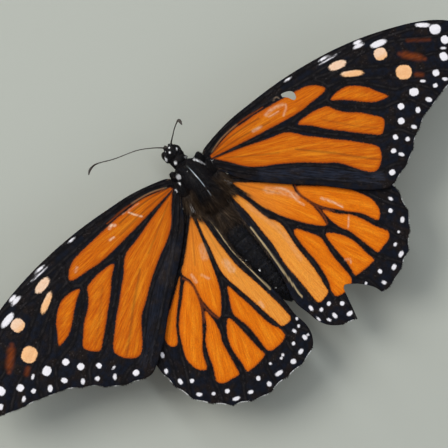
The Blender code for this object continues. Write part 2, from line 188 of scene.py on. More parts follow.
def nearest_on(points: Array, path: Array) -> Nearest:
    """Nearest place on a path of straight stretches, in two or three dimensions.

    Args:
        points: (N, D) places.
        path: (M, D) corners.

    Returns:
        Distances, arc lengths and nearest places.
    """
    start, run = path[:-1], np.diff(path, axis=0)
    squares = np.maximum((run ** 2).sum(axis=1), 1e-12)
    reach = np.concatenate([[0.0], np.cumsum(np.sqrt(squares))])[:-1]
    found = Nearest(np.empty(len(points)), np.empty(len(points)), np.empty_like(points))
    for first in range(0, len(points), CHUNK):
        part = points[first:first + CHUNK]
        share = np.clip(((part[:, None] - start) * run).sum(axis=2) / squares, 0.0, 1.0)
        place = start + share[..., None] * run
        apart = ((part[:, None] - place) ** 2).sum(axis=2)
        best = apart.argmin(axis=1)
        pick = (np.arange(len(part)), best)
        found.distance[first:first + CHUNK] = np.sqrt(apart[pick])
        found.along[first:first + CHUNK] = reach[best] + share[pick] * np.sqrt(squares[best])
        found.point[first:first + CHUNK] = place[pick]
    return found


def inside(points: Array, loop: Array) -> Array:
    """Which points lie inside a loop, by counting the edges that a line along U crosses."""
    start, end = loop, np.roll(loop, -1, axis=0)
    result = np.empty(len(points), bool)
    for first in range(0, len(points), CHUNK):
        u, v = points[first:first + CHUNK, :1], points[first:first + CHUNK, 1:2]
        spans = (start[:, 1] > v) != (end[:, 1] > v)
        rise = np.where(end[:, 1] == start[:, 1], 1.0, end[:, 1] - start[:, 1])
        crossing = start[:, 0] + (v - start[:, 1]) / rise * (end[:, 0] - start[:, 0])
        result[first:first + CHUNK] = (spans & (u < crossing)).sum(axis=1) % 2 == 1
    return result


def depth_inside(points: Array, loops: Sequence[Array]) -> Array:
    """Depth inside the nearest of several closed loops, negative outside them all."""
    depth = np.full(len(points), OUTSIDE)
    for loop in loops:
        sign = np.where(inside(points, loop), 1.0, -1.0)
        depth = np.maximum(depth, sign * nearest_on(points, loop).distance)
    return depth


# ---------------------------------------------------------------- meshes


def link(name: str, data: bpy.types.ID | None) -> bpy.types.Object:
    """A new object in the scene."""
    made = bpy.data.objects.new(name, data)
    bpy.context.scene.collection.objects.link(made)
    return made


@dataclass
class Draft:
    """Vertices, faces and point values gathered until they become one mesh.

    Attributes:
        verts: arrays of body coordinates.
        faces: arrays of faces, each with three or four corners a row.
        values: arrays of point values under each attribute's name.
        patches: arrays of places on the unwrap, one a vertex.
    """

    verts: list[Array] = field(default_factory=list)
    faces: list[Array] = field(default_factory=list)
    values: dict[str, list[Array]] = field(default_factory=dict)
    patches: list[Array] = field(default_factory=list)

    def add(self, verts: Array, faces: Sequence[Array], patches: Array | None = None,
            **values: Array) -> None:
        """Adds one shape.

        Args:
            verts: (N, 3) body coordinates.
            faces: face arrays that count from this shape's first vertex.
            patches: (N, 2) places on the unwrap.
            **values: (N,) or (N, 3) point values.
        """
        start = sum(len(rows) for rows in self.verts)
        self.verts.append(verts)
        self.faces.extend(rows + start for rows in faces)
        if patches is not None:
            self.patches.append(patches)
        for name, rows in values.items():
            self.values.setdefault(name, []).append(rows)

    def build(self, name: str, space: BodySpace, material: Material, slot: str,
              nodes: Sequence[str] = ()) -> bpy.types.Object:
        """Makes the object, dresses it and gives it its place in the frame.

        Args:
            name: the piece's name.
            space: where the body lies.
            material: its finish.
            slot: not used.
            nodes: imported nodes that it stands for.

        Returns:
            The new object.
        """
        mesh = bpy.data.meshes.new(name)
        points = space.place(np.vstack(self.verts))
        corners = np.concatenate([rows.ravel() for rows in self.faces])
        sizes = np.concatenate([np.full(len(rows), rows.shape[1]) for rows in self.faces])
        mesh.vertices.add(len(points))
        mesh.vertices.foreach_set("co", points.astype(np.float32).ravel())
        mesh.loops.add(len(corners))
        mesh.loops.foreach_set("vertex_index", corners.astype(np.int32))
        mesh.polygons.add(len(sizes))
        mesh.polygons.foreach_set("loop_start", (np.cumsum(sizes) - sizes).astype(np.int32))
        mesh.update(calc_edges=True)
        for title, parts in self.values.items():
            rows = np.concatenate(parts)
            kind, key = ("FLOAT", "value") if rows.ndim == 1 else ("FLOAT_VECTOR", "vector")
            layer = mesh.attributes.new(title, kind, "POINT")
            layer.data.foreach_set(key, rows.astype(np.float32).ravel())
        if self.patches:
            layer = mesh.uv_layers.new(name="OFBake")
            rows = np.concatenate(self.patches)[corners]
            layer.data.foreach_set("uv", rows.astype(np.float32).ravel())
        mesh.shade_smooth()
        mesh.materials.append(material)
        piece = link(name, mesh)
        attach(piece, "root")
        if nodes:
            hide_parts(*nodes)
        log.info("%s: %d vertices, %d triangles", name, len(points), int((sizes - 2).sum()))
        return piece


def grid_faces(rows: int, columns: int, wrap: bool = False) -> Array:
    """Quads of a grid of points counted row by row; with `wrap` the last column meets the first."""
    across = columns if wrap else columns - 1
    i, k = np.meshgrid(np.arange(rows - 1), np.arange(across), indexing="ij")
    after = (k + 1) % columns
    quads = np.stack([i * columns + k, i * columns + after, (i + 1) * columns + after,
                      (i + 1) * columns + k], axis=-1)
    return quads.reshape(-1, 4)


def edge_ends(quads: Array) -> Array:
    """First and last corner of each quad's edges."""
    return np.concatenate([quads[:, [k, (k + 1) % 4]] for k in range(4)])


def gathered(index: Array, rows: Array, count: int) -> Array:
    """Sums of the rows that share an index, for every index below `count`."""
    return np.stack([np.bincount(index, weights=column, minlength=count) for column in rows.T], axis=1)


def closed_rings(rings: Array, ends: Array, turned: bool = False) -> Shape:
    """A skin over rings of points, with a fan to a point at each end.

    Args:
        rings: (N, sides, 3) places.
        ends: (2, 3) the points before the first ring and after the last.
        turned: whether the rings run the other way round, so that the faces must be turned over.

    Returns:
        Vertices and faces.
    """
    count, sides = rings.shape[:2]
    k = np.arange(sides)
    after, last, total = (k + 1) % sides, (count - 1) * sides, count * sides
    start_fan = np.stack([np.full(sides, total), after, k], axis=1)
    end_fan = np.stack([np.full(sides, total + 1), last + k, last + after], axis=1)
    faces = [grid_faces(count, sides, wrap=True), start_fan, end_fan]
    if turned:
        faces = [faces[0][:, ::-1], *(fan[:, [0, 2, 1]] for fan in faces[1:])]
    return np.vstack([rings.reshape(-1, 3), ends]), faces


def tube(path: Array, sides: int, across: Sequence[float]) -> Shape:
    """A round limb with closed ends.

    A ring is centre + radius (cos a n + sin a b), where n is `across` made square to the path
    and b is path x n. The ends are fans to a point on the path.

    Args:
        path: (N, 4) rows of x, y, z and radius.
        sides: corners of a ring.
        across: a direction that the path never takes.

    Returns:
        Vertices and faces.
    """
    centre, radius = path[:, :3], path[:, 3:]
    along = unit(np.gradient(centre, axis=0))
    first = unit(np.asarray(across, float) - along * (along @ np.asarray(across, float))[:, None])
    second = np.cross(along, first)
    angle = (2 * math.pi * np.arange(sides) / sides)[None, :, None]
    ring = first[:, None] * np.cos(angle) + second[:, None] * np.sin(angle)
    ends = np.array([centre[0] - along[0] * radius[0] * 0.5, centre[-1] + along[-1] * radius[-1] * 0.5])
    return closed_rings(centre[:, None] + radius[:, None] * ring, ends)


def ellipsoid(centre: Sequence[float], radii: Sequence[float], segments: int = 40,
              rings: int = 28) -> Shape:
    """A closed ellipsoid: rings of (sin p cos a, sin p sin a, cos p) between two poles."""
    polar = math.pi * np.arange(1, rings) / rings
    angle = 2 * math.pi * np.arange(segments) / segments
    body = np.stack([np.outer(np.sin(polar), np.cos(angle)), np.outer(np.sin(polar), np.sin(angle)),
                     np.outer(np.cos(polar), np.ones(segments))], axis=-1)
    verts, faces = closed_rings(body, np.array([[0, 0, 1], [0, 0, -1]]), turned=True)
    return verts * radii + np.asarray(centre), faces


@dataclass(frozen=True)
class Blade:
    """The shape of one hair, tuft or scale: a closed three-sided blade that leaves the skin and bends.

    Its spine is root + length (t (lie cos lift + normal sin lift) - settle t^2 normal + curl t^2 side).

    Attributes:
        profile: half widths from root to just before the tip, as shares of the width.
        flatness: thickness as a share of the width.
        lift: angle at which it leaves the skin, in radians.
        settle: how far it bends back down.
        curl, stray: how far it bends aside and how far it strays from the lie of the coat.
    """

    profile: tuple[float, ...] = (0.9, 1.0, 0.6)
    flatness: float = 0.8
    lift: float = 0.35
    settle: float = 0.15
    curl: float = 0.12
    stray: float = 0.14

    def grow(self, draft: Draft, roots: Array, normals: Array, lie: Array, length: Array,
             width: Array, unwrap: Array, rng: np.random.Generator, **values: Array) -> None:
        """Adds a blade at each root.

        Args:
            draft: where they are gathered.
            roots: (N, 3) places on the skin.
            normals: (N, 3) its normals there.
            lie: (N, 3) directions in which the coat lies.
            length: (N,) lengths.
            width: (N,) half widths.
            unwrap: (N, 2) places of the roots on the unwrap.
            rng: the source of the small differences.
            **values: (N,) point values of each blade.
        """
        count, levels = len(roots), len(self.profile)
        lie = unit(lie - normals * (lie * normals).sum(axis=1, keepdims=True))
        side = np.cross(lie, normals)
        lift = self.lift * rng.uniform(0.6, 1.5, (count, 1))
        curl = rng.normal(0.0, self.curl, (count, 1))
        lie = unit(lie + side * rng.normal(0.0, self.stray, (count, 1)))
        side = np.cross(lie, normals)
        t = np.append(np.arange(levels) / levels, 1.0)[None, :, None]
        heading = lie * np.cos(lift) + normals * np.sin(lift)
        spine = (heading[:, None] * t - normals[:, None] * self.settle * t ** 2
                 + (side * curl)[:, None] * t ** 2)
        spine = roots[:, None] - ROOT_DEPTH * normals[:, None] + length[:, None, None] * spine
        angle = np.radians([210.0, 330.0, 90.0])
        half = width[:, None, None] * np.array(self.profile)[None, :, None]
        ring = (side[:, None, None] * np.cos(angle)[None, None, :, None]
                + normals[:, None, None] * self.flatness * np.sin(angle)[None, None, :, None])
        body = (spine[:, :levels, None] + half[..., None] * ring).reshape(count, -1, 3)
        verts = np.concatenate([body, spine[:, levels:]], axis=1)
        size = verts.shape[1]
        quads = [(3 * low + k, 3 * low + 3 + k, 3 * low + 3 + (k + 1) % 3, 3 * low + (k + 1) % 3)
                 for low in range(levels - 1) for k in range(3)]
        last = 3 * (levels - 1)
        tip = [(last + k, 3 * levels, last + (k + 1) % 3) for k in range(3)] + [(0, 1, 2)]
        shift = (np.arange(count) * size)[:, None, None]
        faces = [(np.array(rows)[None] + shift).reshape(-1, len(rows[0])) for rows in (tip, quads)]
        local = np.array([(across, level / levels) for level in range(levels) for across in (0.0, 1.0, 0.5)]
                         + [(0.5, 1.0)]) - 0.5
        patches = (unwrap[:, None] + PATCH * local[None]).reshape(-1, 2)
        repeated = {name: np.repeat(rows, size) for name, rows in values.items()}
        draft.add(verts.reshape(-1, 3), faces, patches, **repeated)


# ---------------------------------------------------------------- shaders


class Graph:
    """A shader node tree under construction."""

    def __init__(self, tree: bpy.types.NodeTree) -> None:
        """Starts on a tree."""
        self.tree = tree

    def node(self, kind: str, **settings: object) -> bpy.types.Node:
        """A new node with its settings."""
        made = self.tree.nodes.new(kind)
        made.location = (180 * (len(self.tree.nodes) % 12), -220 * (len(self.tree.nodes) // 12))
        for name, value in settings.items():
            setattr(made, name, value)
        return made

    def feed(self, socket: Socket, value: object) -> None:
        """Links a socket to another, or sets its value or its opaque colour."""
        if isinstance(value, Socket):
            self.tree.links.new(value, socket)
        elif isinstance(value, tuple):
            socket.default_value = (*value, 1.0)
        else:
            socket.default_value = value

    def maths(self, operation: str, *values: object) -> Socket:
        """One sum, product or other operation."""
        made = self.node("ShaderNodeMath", operation=operation)
        for socket, value in zip(made.inputs, values):
            self.feed(socket, value)
        return made.outputs[0]

    def times(self, first: object, second: object) -> Socket:
        """The product of two values."""
        return self.maths("MULTIPLY", first, second)

    def fill(self, made: bpy.types.Node, **values: object) -> None:
        """Links or sets inputs of a node, whose names have _ for a blank."""
        for name, value in values.items():
            self.feed(made.inputs[name.replace("_", " ")], value)

    def ramp(self, value: object, low: float, high: float, start: float = 0.0,
             end: float = 1.0) -> Socket:
        """A smooth step from `start` at `low` to `end` at `high`."""
        made = self.node("ShaderNodeMapRange", interpolation_type="SMOOTHSTEP")
        for socket, number in zip(made.inputs, (value, low, high, start, end)):
            self.feed(socket, number)
        return made.outputs[0]

    def mix(self, factor: object, first: object, second: object) -> Socket:
        """Two colours mixed."""
        made = self.node("ShaderNodeMix", data_type="RGBA")
        for index, value in ((0, factor), (6, first), (7, second)):
            self.feed(made.inputs[index], value)
        return made.outputs[2]

    def stretch(self, vector: object, scale: Sequence[float]) -> Socket:
        """Coordinates scaled on each axis."""
        made = self.node("ShaderNodeMapping")
        self.feed(made.inputs["Vector"], vector)
        made.inputs["Scale"].default_value = scale
        return made.outputs[0]

    def noise(self, vector: object, scale: float, detail: float = 3.0) -> Socket:
        """Soft noise from zero to one, a half on average."""
        made = self.node("ShaderNodeTexNoise")
        self.fill(made, Vector=vector, Scale=scale, Detail=detail)
        return made.outputs[0]

    def value(self, name: str) -> Socket:
        """A point value of the mesh."""
        return self.node("ShaderNodeAttribute", attribute_name=name).outputs["Fac"]

    def vector(self, name: str) -> Socket:
        """A point vector of the mesh."""
        return self.node("ShaderNodeAttribute", attribute_name=name).outputs["Vector"]

    def place(self) -> Socket:
        """The point's own place in metres."""
        return self.node("ShaderNodeTexCoord").outputs["Object"]

    def group(self, tree: bpy.types.NodeTree, **values: object) -> bpy.types.Node:
        """A shader group placed with its own values."""
        made = self.node("ShaderNodeGroup", node_tree=tree)
        self.fill(made, **values)
        return made

    def bump(self, height: object, strength: float, distance: float) -> Socket:
        """A normal raised by a height."""
        made = self.node("ShaderNodeBump")
        self.fill(made, Strength=strength, Distance=distance, Height=height)
        return made.outputs[0]


def new_group(name: str, inputs: Rows | Sequence[tuple], outputs: Sequence[tuple]) -> tuple:
    """An empty shader group.

    Args:
        name: the group's name.
        inputs: (name, socket type) pairs, with a default third where there is one.
        outputs: (name, socket type) pairs.

    Returns:
        The tree, its graph, its input node and its output node.
    """
    tree = bpy.data.node_groups.new(name, "ShaderNodeTree")
    for title, kind, *default in inputs:
        socket = tree.interface.new_socket(title, in_out="INPUT", socket_type=kind)
        if default:
            socket.default_value = default[0]
    for title, kind in outputs:
        tree.interface.new_socket(title, in_out="OUTPUT", socket_type=kind)
    graph = Graph(tree)
    return tree, graph, graph.node("NodeGroupInput"), graph.node("NodeGroupOutput")


class Effects:
    """Shader groups that several finishes share."""

    soft = 0.11              # half width of the soft edge of a marking
    scatter = 0.6            # how much the shade of a scale shifts that edge

    def __init__(self) -> None:
        """Builds each group once."""
        self.shingle = self.make_shingle()
        self.frayed = self.make_frayed()

    def make_shingle(self) -> bpy.types.NodeTree:
        """Small overlapping scales in rows: a shade for each one and a height that falls to its edge."""
        tree, graph, given, result = new_group(
            "shingle", [("Vector", "NodeSocketVector"), ("Scale", "NodeSocketFloat", 1.0)],
            [("Shade", "NodeSocketFloat"), ("Height", "NodeSocketFloat")])
        cells = graph.node("ShaderNodeTexVoronoi")
        graph.fill(cells, Vector=given.outputs["Vector"], Scale=given.outputs["Scale"], Randomness=0.75)
        split = graph.node("ShaderNodeSeparateColor")
        graph.fill(split, Color=cells.outputs["Color"])
        graph.fill(result, Shade=split.outputs[0],
                   Height=graph.maths("SUBTRACT", 1.0, cells.outputs["Distance"]))
        return tree

    def make_frayed(self) -> bpy.types.NodeTree:
        """A mask whose edge wanders: one inside, zero outside, from a depth in millimetres."""
        tree, graph, given, result = new_group(
            "frayed", [("Depth", "NodeSocketFloat"), ("Vector", "NodeSocketVector"),
                       ("Shade", "NodeSocketFloat", 0.5), ("Wander", "NodeSocketFloat", 0.2)],
            [("Mask", "NodeSocketFloat")])
        drift = graph.maths("SUBTRACT", graph.noise(given.outputs["Vector"], 2.2), 0.5)
        fleck = graph.times(graph.maths("SUBTRACT", given.outputs["Shade"], 0.5), self.scatter)
        shift = graph.times(graph.maths("ADD", drift, fleck), given.outputs["Wander"])
        depth = graph.maths("ADD", given.outputs["Depth"], shift)
        graph.fill(result, Mask=graph.ramp(depth, -self.soft, self.soft))
        return tree


def start_material(name: str) -> tuple[Material, Graph, bpy.types.Node]:
    """A new material, its graph and its Principled shader."""
    material = bpy.data.materials.new(name)
    material.use_nodes = True
    return material, Graph(material.node_tree), material.node_tree.nodes["Principled BSDF"]


Colour = tuple[float, float, float]


@dataclass(frozen=True)
class WingFinish:
    """Scales of one pair of wings.

    Attributes:
        name: the material's name.
        bright: the orange in the middle of a cell.
        deep: the orange near its border.
        pale: the washed orange beside the hindwing's inner margin.
        under: the orange of the underside.
        glow: the lightest gold, a painted highlight in the middle of a cell.
        white, peach, blush, cream, rust, fold: spots, lines and folds.
        black, navy, umber, sheen, fleck: the dark bands, their painted blue sheen, and the painted glints of
            single scales and vein tops catching the light.
        rubbed: the membrane where scales are gone.
    """

    name: str
    bright: Colour
    deep: Colour
    pale: Colour
    under: Colour
    glow: Colour
    white: Colour = (0.80, 0.78, 0.83)
    peach: Colour = (0.86, 0.50, 0.25)
    rust: Colour = (0.20, 0.042, 0.008)
    black: Colour = (0.0042, 0.0038, 0.0048)
    navy: Colour = (0.006, 0.008, 0.015)
    umber: Colour = (0.013, 0.009, 0.008)
    sheen: Colour = (0.024, 0.029, 0.048)
    # colour of the painted glints on single scales and along the vein tops
    fleck: Colour = (0.060, 0.053, 0.056)
    fold: Colour = (0.080, 0.026, 0.008)
    blush: Colour = (0.83, 0.60, 0.43)
    cream: Colour = (0.50, 0.38, 0.21)
    rubbed: Colour = (0.80, 0.56, 0.38)

    def make(self, effects: Effects) -> Material:
        """Builds the material from the wing's point values."""
        material, graph, shader = start_material(self.name)
        flat, ray = graph.vector("template"), graph.vector("lie")
        rows = graph.group(effects.shingle, Vector=graph.stretch(ray, (4.2, 8.5, 1.0)), Scale=1.0)
        shade = rows.outputs["Shade"]
        streak = graph.noise(graph.stretch(ray, (0.35, 4.5, 1.0)), 1.0, 4.0)
        orange = self.orange(graph, shade, streak, graph.noise(graph.stretch(ray, (0.14, 1.3, 1.0)), 1.0))

        def mask(name: str, wander: float) -> Socket:
            """A marking's mask from its depth, with a scaly edge."""
            return graph.group(effects.frayed, Depth=graph.value(name), Vector=flat, Shade=shade,
                               Wander=wander).outputs["Mask"]

        colour = graph.mix(mask("orange", 0.2), self.dark(graph, flat, shade, streak), orange)
        for name, low, line in (("rust", 0.3, self.rust), ("cream", 0.25, self.cream)):
            share = graph.times(graph.value(name), graph.ramp(streak, low, 0.6, 0.55, 1.0))
            colour = graph.mix(share, colour, line)
        peach = graph.mix(graph.value("tone"), self.peach, self.blush)
        peach = graph.mix(graph.ramp(shade, 0.0, 1.0, 0.18, 0.0), peach, self.bright)
        colour = graph.mix(mask("peach", 0.16), colour, peach)
        colour = graph.mix(mask("white", 0.12), colour, self.white)
        patchy = graph.noise(graph.stretch(flat, (1.0, 1.6, 1.0)), 1.5, 3.0)
        worn = graph.times(graph.value("wear"), graph.ramp(patchy, 0.25, 0.7, 0.2, 1.0))
        worn = graph.times(worn, graph.ramp(graph.value("orange"), -0.15, 0.15, 0.3, 1.0))
        grain = graph.times(graph.noise(graph.stretch(ray, (0.9, 6.0, 1.0)), 1.0), 2.0)
        ripple = graph.maths("ADD", rows.outputs["Height"], grain)
        graph.fill(shader, Base_Color=graph.mix(worn, colour, self.rubbed),
                   Roughness=graph.ramp(shade, 0.0, 1.0, 0.5, 0.72),
                   Normal=graph.bump(ripple, 0.55, 0.00006), Specular_IOR_Level=0.05)
        return material

    def dark(self, graph: Graph, flat: object, shade: object, streak: object) -> Socket:
        """The black bands: deepest on the veins, brown or blue between, with a painted highlight along the
        raised veins, a painted blue sheen and painted glints where single scales catch the light.
        """
        cloud = graph.noise(flat, 0.45, 3.0)
        dark = graph.mix(graph.ramp(cloud, 0.42, 0.62), self.navy, self.umber)
        vein = graph.value("vein")
        between = graph.times(graph.ramp(vein, 0.1, 0.7),
                              graph.ramp(graph.noise(flat, 1.3), 0.3, 0.65, 0.25, 1.0))
        dark = graph.mix(between, self.black, dark)
        # painted highlight: a faint pale line along the tops of the raised veins, in the glint colour
        painted_highlight = graph.times(graph.ramp(vein, 0.06, 0.3, 1.0, 0.0),
                            graph.ramp(graph.noise(flat, 0.8), 0.35, 0.65, 0.0, 0.22))
        dark = graph.mix(painted_highlight, dark, self.fleck)
        glint = graph.times(graph.value("sheen"), graph.ramp(streak, 0.38, 0.66))
        dark = graph.mix(glint, dark, self.sheen)
        # painted glints: single scales that catch the light, scattered where the cloud is high
        stray = graph.times(graph.ramp(shade, 0.9, 1.0), graph.ramp(cloud, 0.45, 0.7, 0.05, 0.6))
        return graph.mix(stray, dark, self.fleck)

    def orange(self, graph: Graph, shade: object, streak: object, broad: object) -> Socket:
        """The windows: streaked along the wing, with a painted highlight in the middle and rusty at the rim
        and folds.
        """
        depth = graph.value("orange")
        colour = graph.mix(graph.ramp(streak, 0.3, 0.7), self.deep, self.bright)
        # painted highlight: lighter gold in the middle of each cell, patchy along the wing
        lit = graph.times(graph.ramp(broad, 0.42, 0.68), graph.ramp(depth, 0.25, 1.3, 0.0, 0.6))
        faded = graph.times(graph.value("tone"), graph.ramp(streak, 0.25, 0.75, 0.5, 1.0))
        creased = graph.times(graph.value("fold"), graph.ramp(streak, 0.25, 0.6, 0.5, 1.0))
        for share, shown in ((lit, self.glow), (graph.ramp(depth, -0.05, 0.7, 0.8, 0.0), self.deep),
                             (graph.ramp(depth, -0.1, 0.34, 0.7, 0.0), self.rust), (faded, self.pale),
                             (graph.ramp(shade, 0.0, 1.0, 0.2, 0.0), self.rust), (creased, self.fold),
                             (graph.value("under"), self.under)):
            colour = graph.mix(share, colour, shown)
        return colour


@dataclass(frozen=True)
class CoatFinish:
    """Hair and flat scales of the body, and the skin under them.

    Attributes:
        name: the material's name.
        roughness: of the strands.
    """

    name: str
    roughness: float = 0.5
    black: Colour = (0.004, 0.0038, 0.0045)
    navy: Colour = (0.012, 0.016, 0.028)
    brown: Colour = (0.042, 0.025, 0.014)
    tan: Colour = (0.26, 0.17, 0.10)
    white: Colour = (0.84, 0.84, 0.86)
    # pale blue-grey of the painted highlight along the top of the keel
    painted_highlight: Colour = (0.34, 0.40, 0.46)

    def make(self, effects: Effects) -> Material:
        """Builds the material; `tint` varies each strand, `brown` and `white` are the markings, and `gloss`
        makes the keel glossy and paints a highlight along its top.
        """
        material, graph, shader = start_material(self.name)
        tint, brown, gloss = graph.value("tint"), graph.value("brown"), graph.value("gloss")
        rows = graph.group(effects.shingle, Vector=graph.stretch(graph.place(), (7000.0, 3500.0, 7000.0)),
                           Scale=1.0)
        dark = graph.mix(graph.ramp(tint, 0.45, 1.0), self.black, self.navy)
        warm = graph.mix(graph.ramp(tint, 0.5, 1.0), self.brown, self.tan)
        colour = graph.mix(brown, dark, warm)
        # painted highlight: a pale blue-grey line painted along the keel's top, where the gloss is highest
        colour = graph.mix(graph.ramp(gloss, 0.6, 1.0, 0.0, 0.7), colour, self.painted_highlight)
        colour = graph.mix(graph.ramp(graph.value("white"), 0.35, 0.65), colour, self.white)
        rough = graph.ramp(rows.outputs["Shade"], 0.0, 1.0, self.roughness - 0.08, self.roughness + 0.1)
        rough = graph.maths("SUBTRACT", rough, graph.times(gloss, self.roughness - 0.2))
        relief = graph.times(rows.outputs["Height"], graph.maths("SUBTRACT", 1.0, gloss))
        graph.fill(shader, Base_Color=colour, Roughness=rough, Normal=graph.bump(relief, 0.5, 0.00004),
                   Coat_Weight=gloss, Coat_IOR=1.6, Coat_Roughness=0.2, Specular_IOR_Level=0.13)
        return material


@dataclass(frozen=True)
class CuticleFinish:
    """Bare shell of the legs, feelers and tongue.

    Attributes:
        name: the material's name.
        dark: its main colour.
        edge: the brown of its thin places.
        roughness: its gloss.
    """

    name: str = "dark_cuticle"
    dark: Colour = (0.009, 0.008, 0.008)
    edge: Colour = (0.055, 0.034, 0.022)
    roughness: float = 0.36

    def make(self, effects: Effects) -> Material:
        """Builds the material."""
        material, graph, shader = start_material(self.name)
        place = graph.place()
        rows = graph.group(effects.shingle, Vector=graph.stretch(place, (6000.0, 6000.0, 6000.0)), Scale=1.0)
        mottle = graph.ramp(graph.noise(place, 900.0), 0.4, 0.75, 0.0, 0.6)
        brown = graph.maths("MAXIMUM", mottle, graph.value("thin"))
        rough = graph.ramp(rows.outputs["Shade"], 0.0, 1.0, self.roughness - 0.06, self.roughness + 0.12)
        graph.fill(shader, Base_Color=graph.mix(brown, self.dark, self.edge), Roughness=rough,
                   Normal=graph.bump(rows.outputs["Height"], 0.35, 0.00004))
        return material


@dataclass(frozen=True)
class EyeFinish:
    """Facets of the compound eyes."""

    name: str = "eye_facets"
    dark: Colour = (0.0035, 0.003, 0.0035)
    glow: Colour = (0.014, 0.008, 0.006)

    def make(self, effects: Effects) -> Material:
        """Builds the material: a honeycomb of small lenses over dark pigment."""
        material, graph, shader = start_material(self.name)
        place = graph.place()
        lenses = graph.group(effects.shingle, Vector=place, Scale=11000.0)
        ruby = graph.ramp(graph.noise(place, 700.0), 0.4, 0.75, 0.0, 0.8)
        graph.fill(shader, Base_Color=graph.mix(ruby, self.dark, self.glow),
                   Roughness=graph.ramp(lenses.outputs["Shade"], 0.0, 1.0, 0.2, 0.34),
                   Normal=graph.bump(lenses.outputs["Height"], 0.3, 0.00003), Coat_Weight=0.02,
                   Coat_Roughness=0.08, Specular_IOR_Level=0.2, IOR=1.25)
        return material


# ---------------------------------------------------------------- wings


@dataclass(frozen=True)
class Spot:
    """A rounded marking on a wing: centre, size across U and V, and turn in degrees."""

    u: float
    v: float
    wide: float
    tall: float
    turn: float = 0.0
    power: ClassVar[float] = 2.4             # two would be a plain ellipse

    def depth(self, points: Array) -> Array:
        """Depth inside a slightly squared ellipse."""
        angle = math.radians(self.turn)
        offset = points - (self.u, self.v)
        along = (offset[:, 0] * math.cos(angle) + offset[:, 1] * math.sin(angle)) / (self.wide / 2)
        across = (offset[:, 1] * math.cos(angle) - offset[:, 0] * math.sin(angle)) / (self.tall / 2)
        reach = (np.abs(along) ** self.power + np.abs(across) ** self.power) ** (1 / self.power)
        return (1.0 - reach) * min(self.wide, self.tall) / 2

    def shrunk(self, share: float) -> "Spot":
        """The same spot at a share of its size, to a hundredth of a millimetre."""
        return replace(self, wide=round(self.wide * share, 2), tall=round(self.tall * share, 2))


@dataclass(frozen=True)
class Rub:
    """A worn place: a line of U, V points, its half width, how bare it is and its even core's share."""

    path: Rows
    half: float
    strength: float = 1.0
    core: float = 0.35

    def amount(self, points: Array) -> Array:
        """Bareness, falling to nothing at the half width."""
        away = nearest_on(points, smooth_path(self.path, 3)).distance
        return self.strength * fall(away, self.core * self.half, self.half)


def rows_of(kind: type, *rows: Sequence) -> tuple:
    """Markings of one kind, each from the row of its values."""
    return tuple(kind(*row) for row in rows)


@dataclass(frozen=True)
class WingPlan:
    """Outline, veins and markings that the left and right wing share.

    Attributes:
        kind: forewing or hindwing.
        rim: the leading edge and outer margin, from hinge to the end of the margin.
        hem: the rest, back to the hinge.
        margin_from: number of rim points before the scalloped margin.
        scallop: depth of the margin's shallow arcs.
        reach: U of the far end, and droop: how far it bends down.
        cells: the orange windows.
        veins: their paths.
        peach, rusts, folds: peach spots, rusty streaks and dark creases.
        stations, lanes: points along U and across.
    """

    kind: str
    rim: Rows
    hem: Rows
    margin_from: int
    scallop: float
    reach: float
    droop: float
    cells: tuple[Rows, ...]
    veins: tuple[Rows, ...]
    peach: tuple[Spot, ...]
    rusts: tuple[Rub, ...]
    folds: tuple[Rub, ...]
    stations: int
    lanes: int


SCALLOP_LENGTH = 3.6         # between the ends of two veins on the outer margin
SCALLOP_FADE = 2.0           # how far inwards a scallop is felt
FINE_STATIONS = 6000         # places at which a wing's edges are compared
STEEPEST = 12.0              # slope of an edge above which stations crowd no further
INWARD = (0.55, 1.0)         # moves a margin's middle towards the hinge
RIDGE = 0.62                 # a vein's height as a share of its half thickness
THIN_EDGE = 0.35             # a blade's thickness at its rim as a share of the whole
LOBE = ((12.0, 22.0), (3.0, 8.0))            # where the hindwing's inner lobe sets in, along U and V
BEHIND = (1.5, 3.5)          # how far towards the tail the pattern is wholly behind the cell
STRIP_WIDTH = (0.6, 2.4)     # depth in the innermost strip at which it is drawn wider
INNER_STRIP = 5              # the hindwing's orange window beside the inner margin
FAN = 22.0                   # stretches the angle about the hinge into millimetres
FRINGE_SPACING = 0.045       # from one vane to the next, before some are left out
FRINGE_SPAN = np.array([[-2.0, -20.0], [53.0, 15.0]])        # U and V that the fringe's unwrap covers
HAIR_SPAN = np.array([[-2.0, -9.0], [15.0, 6.0]])            # and that of the hair at its base

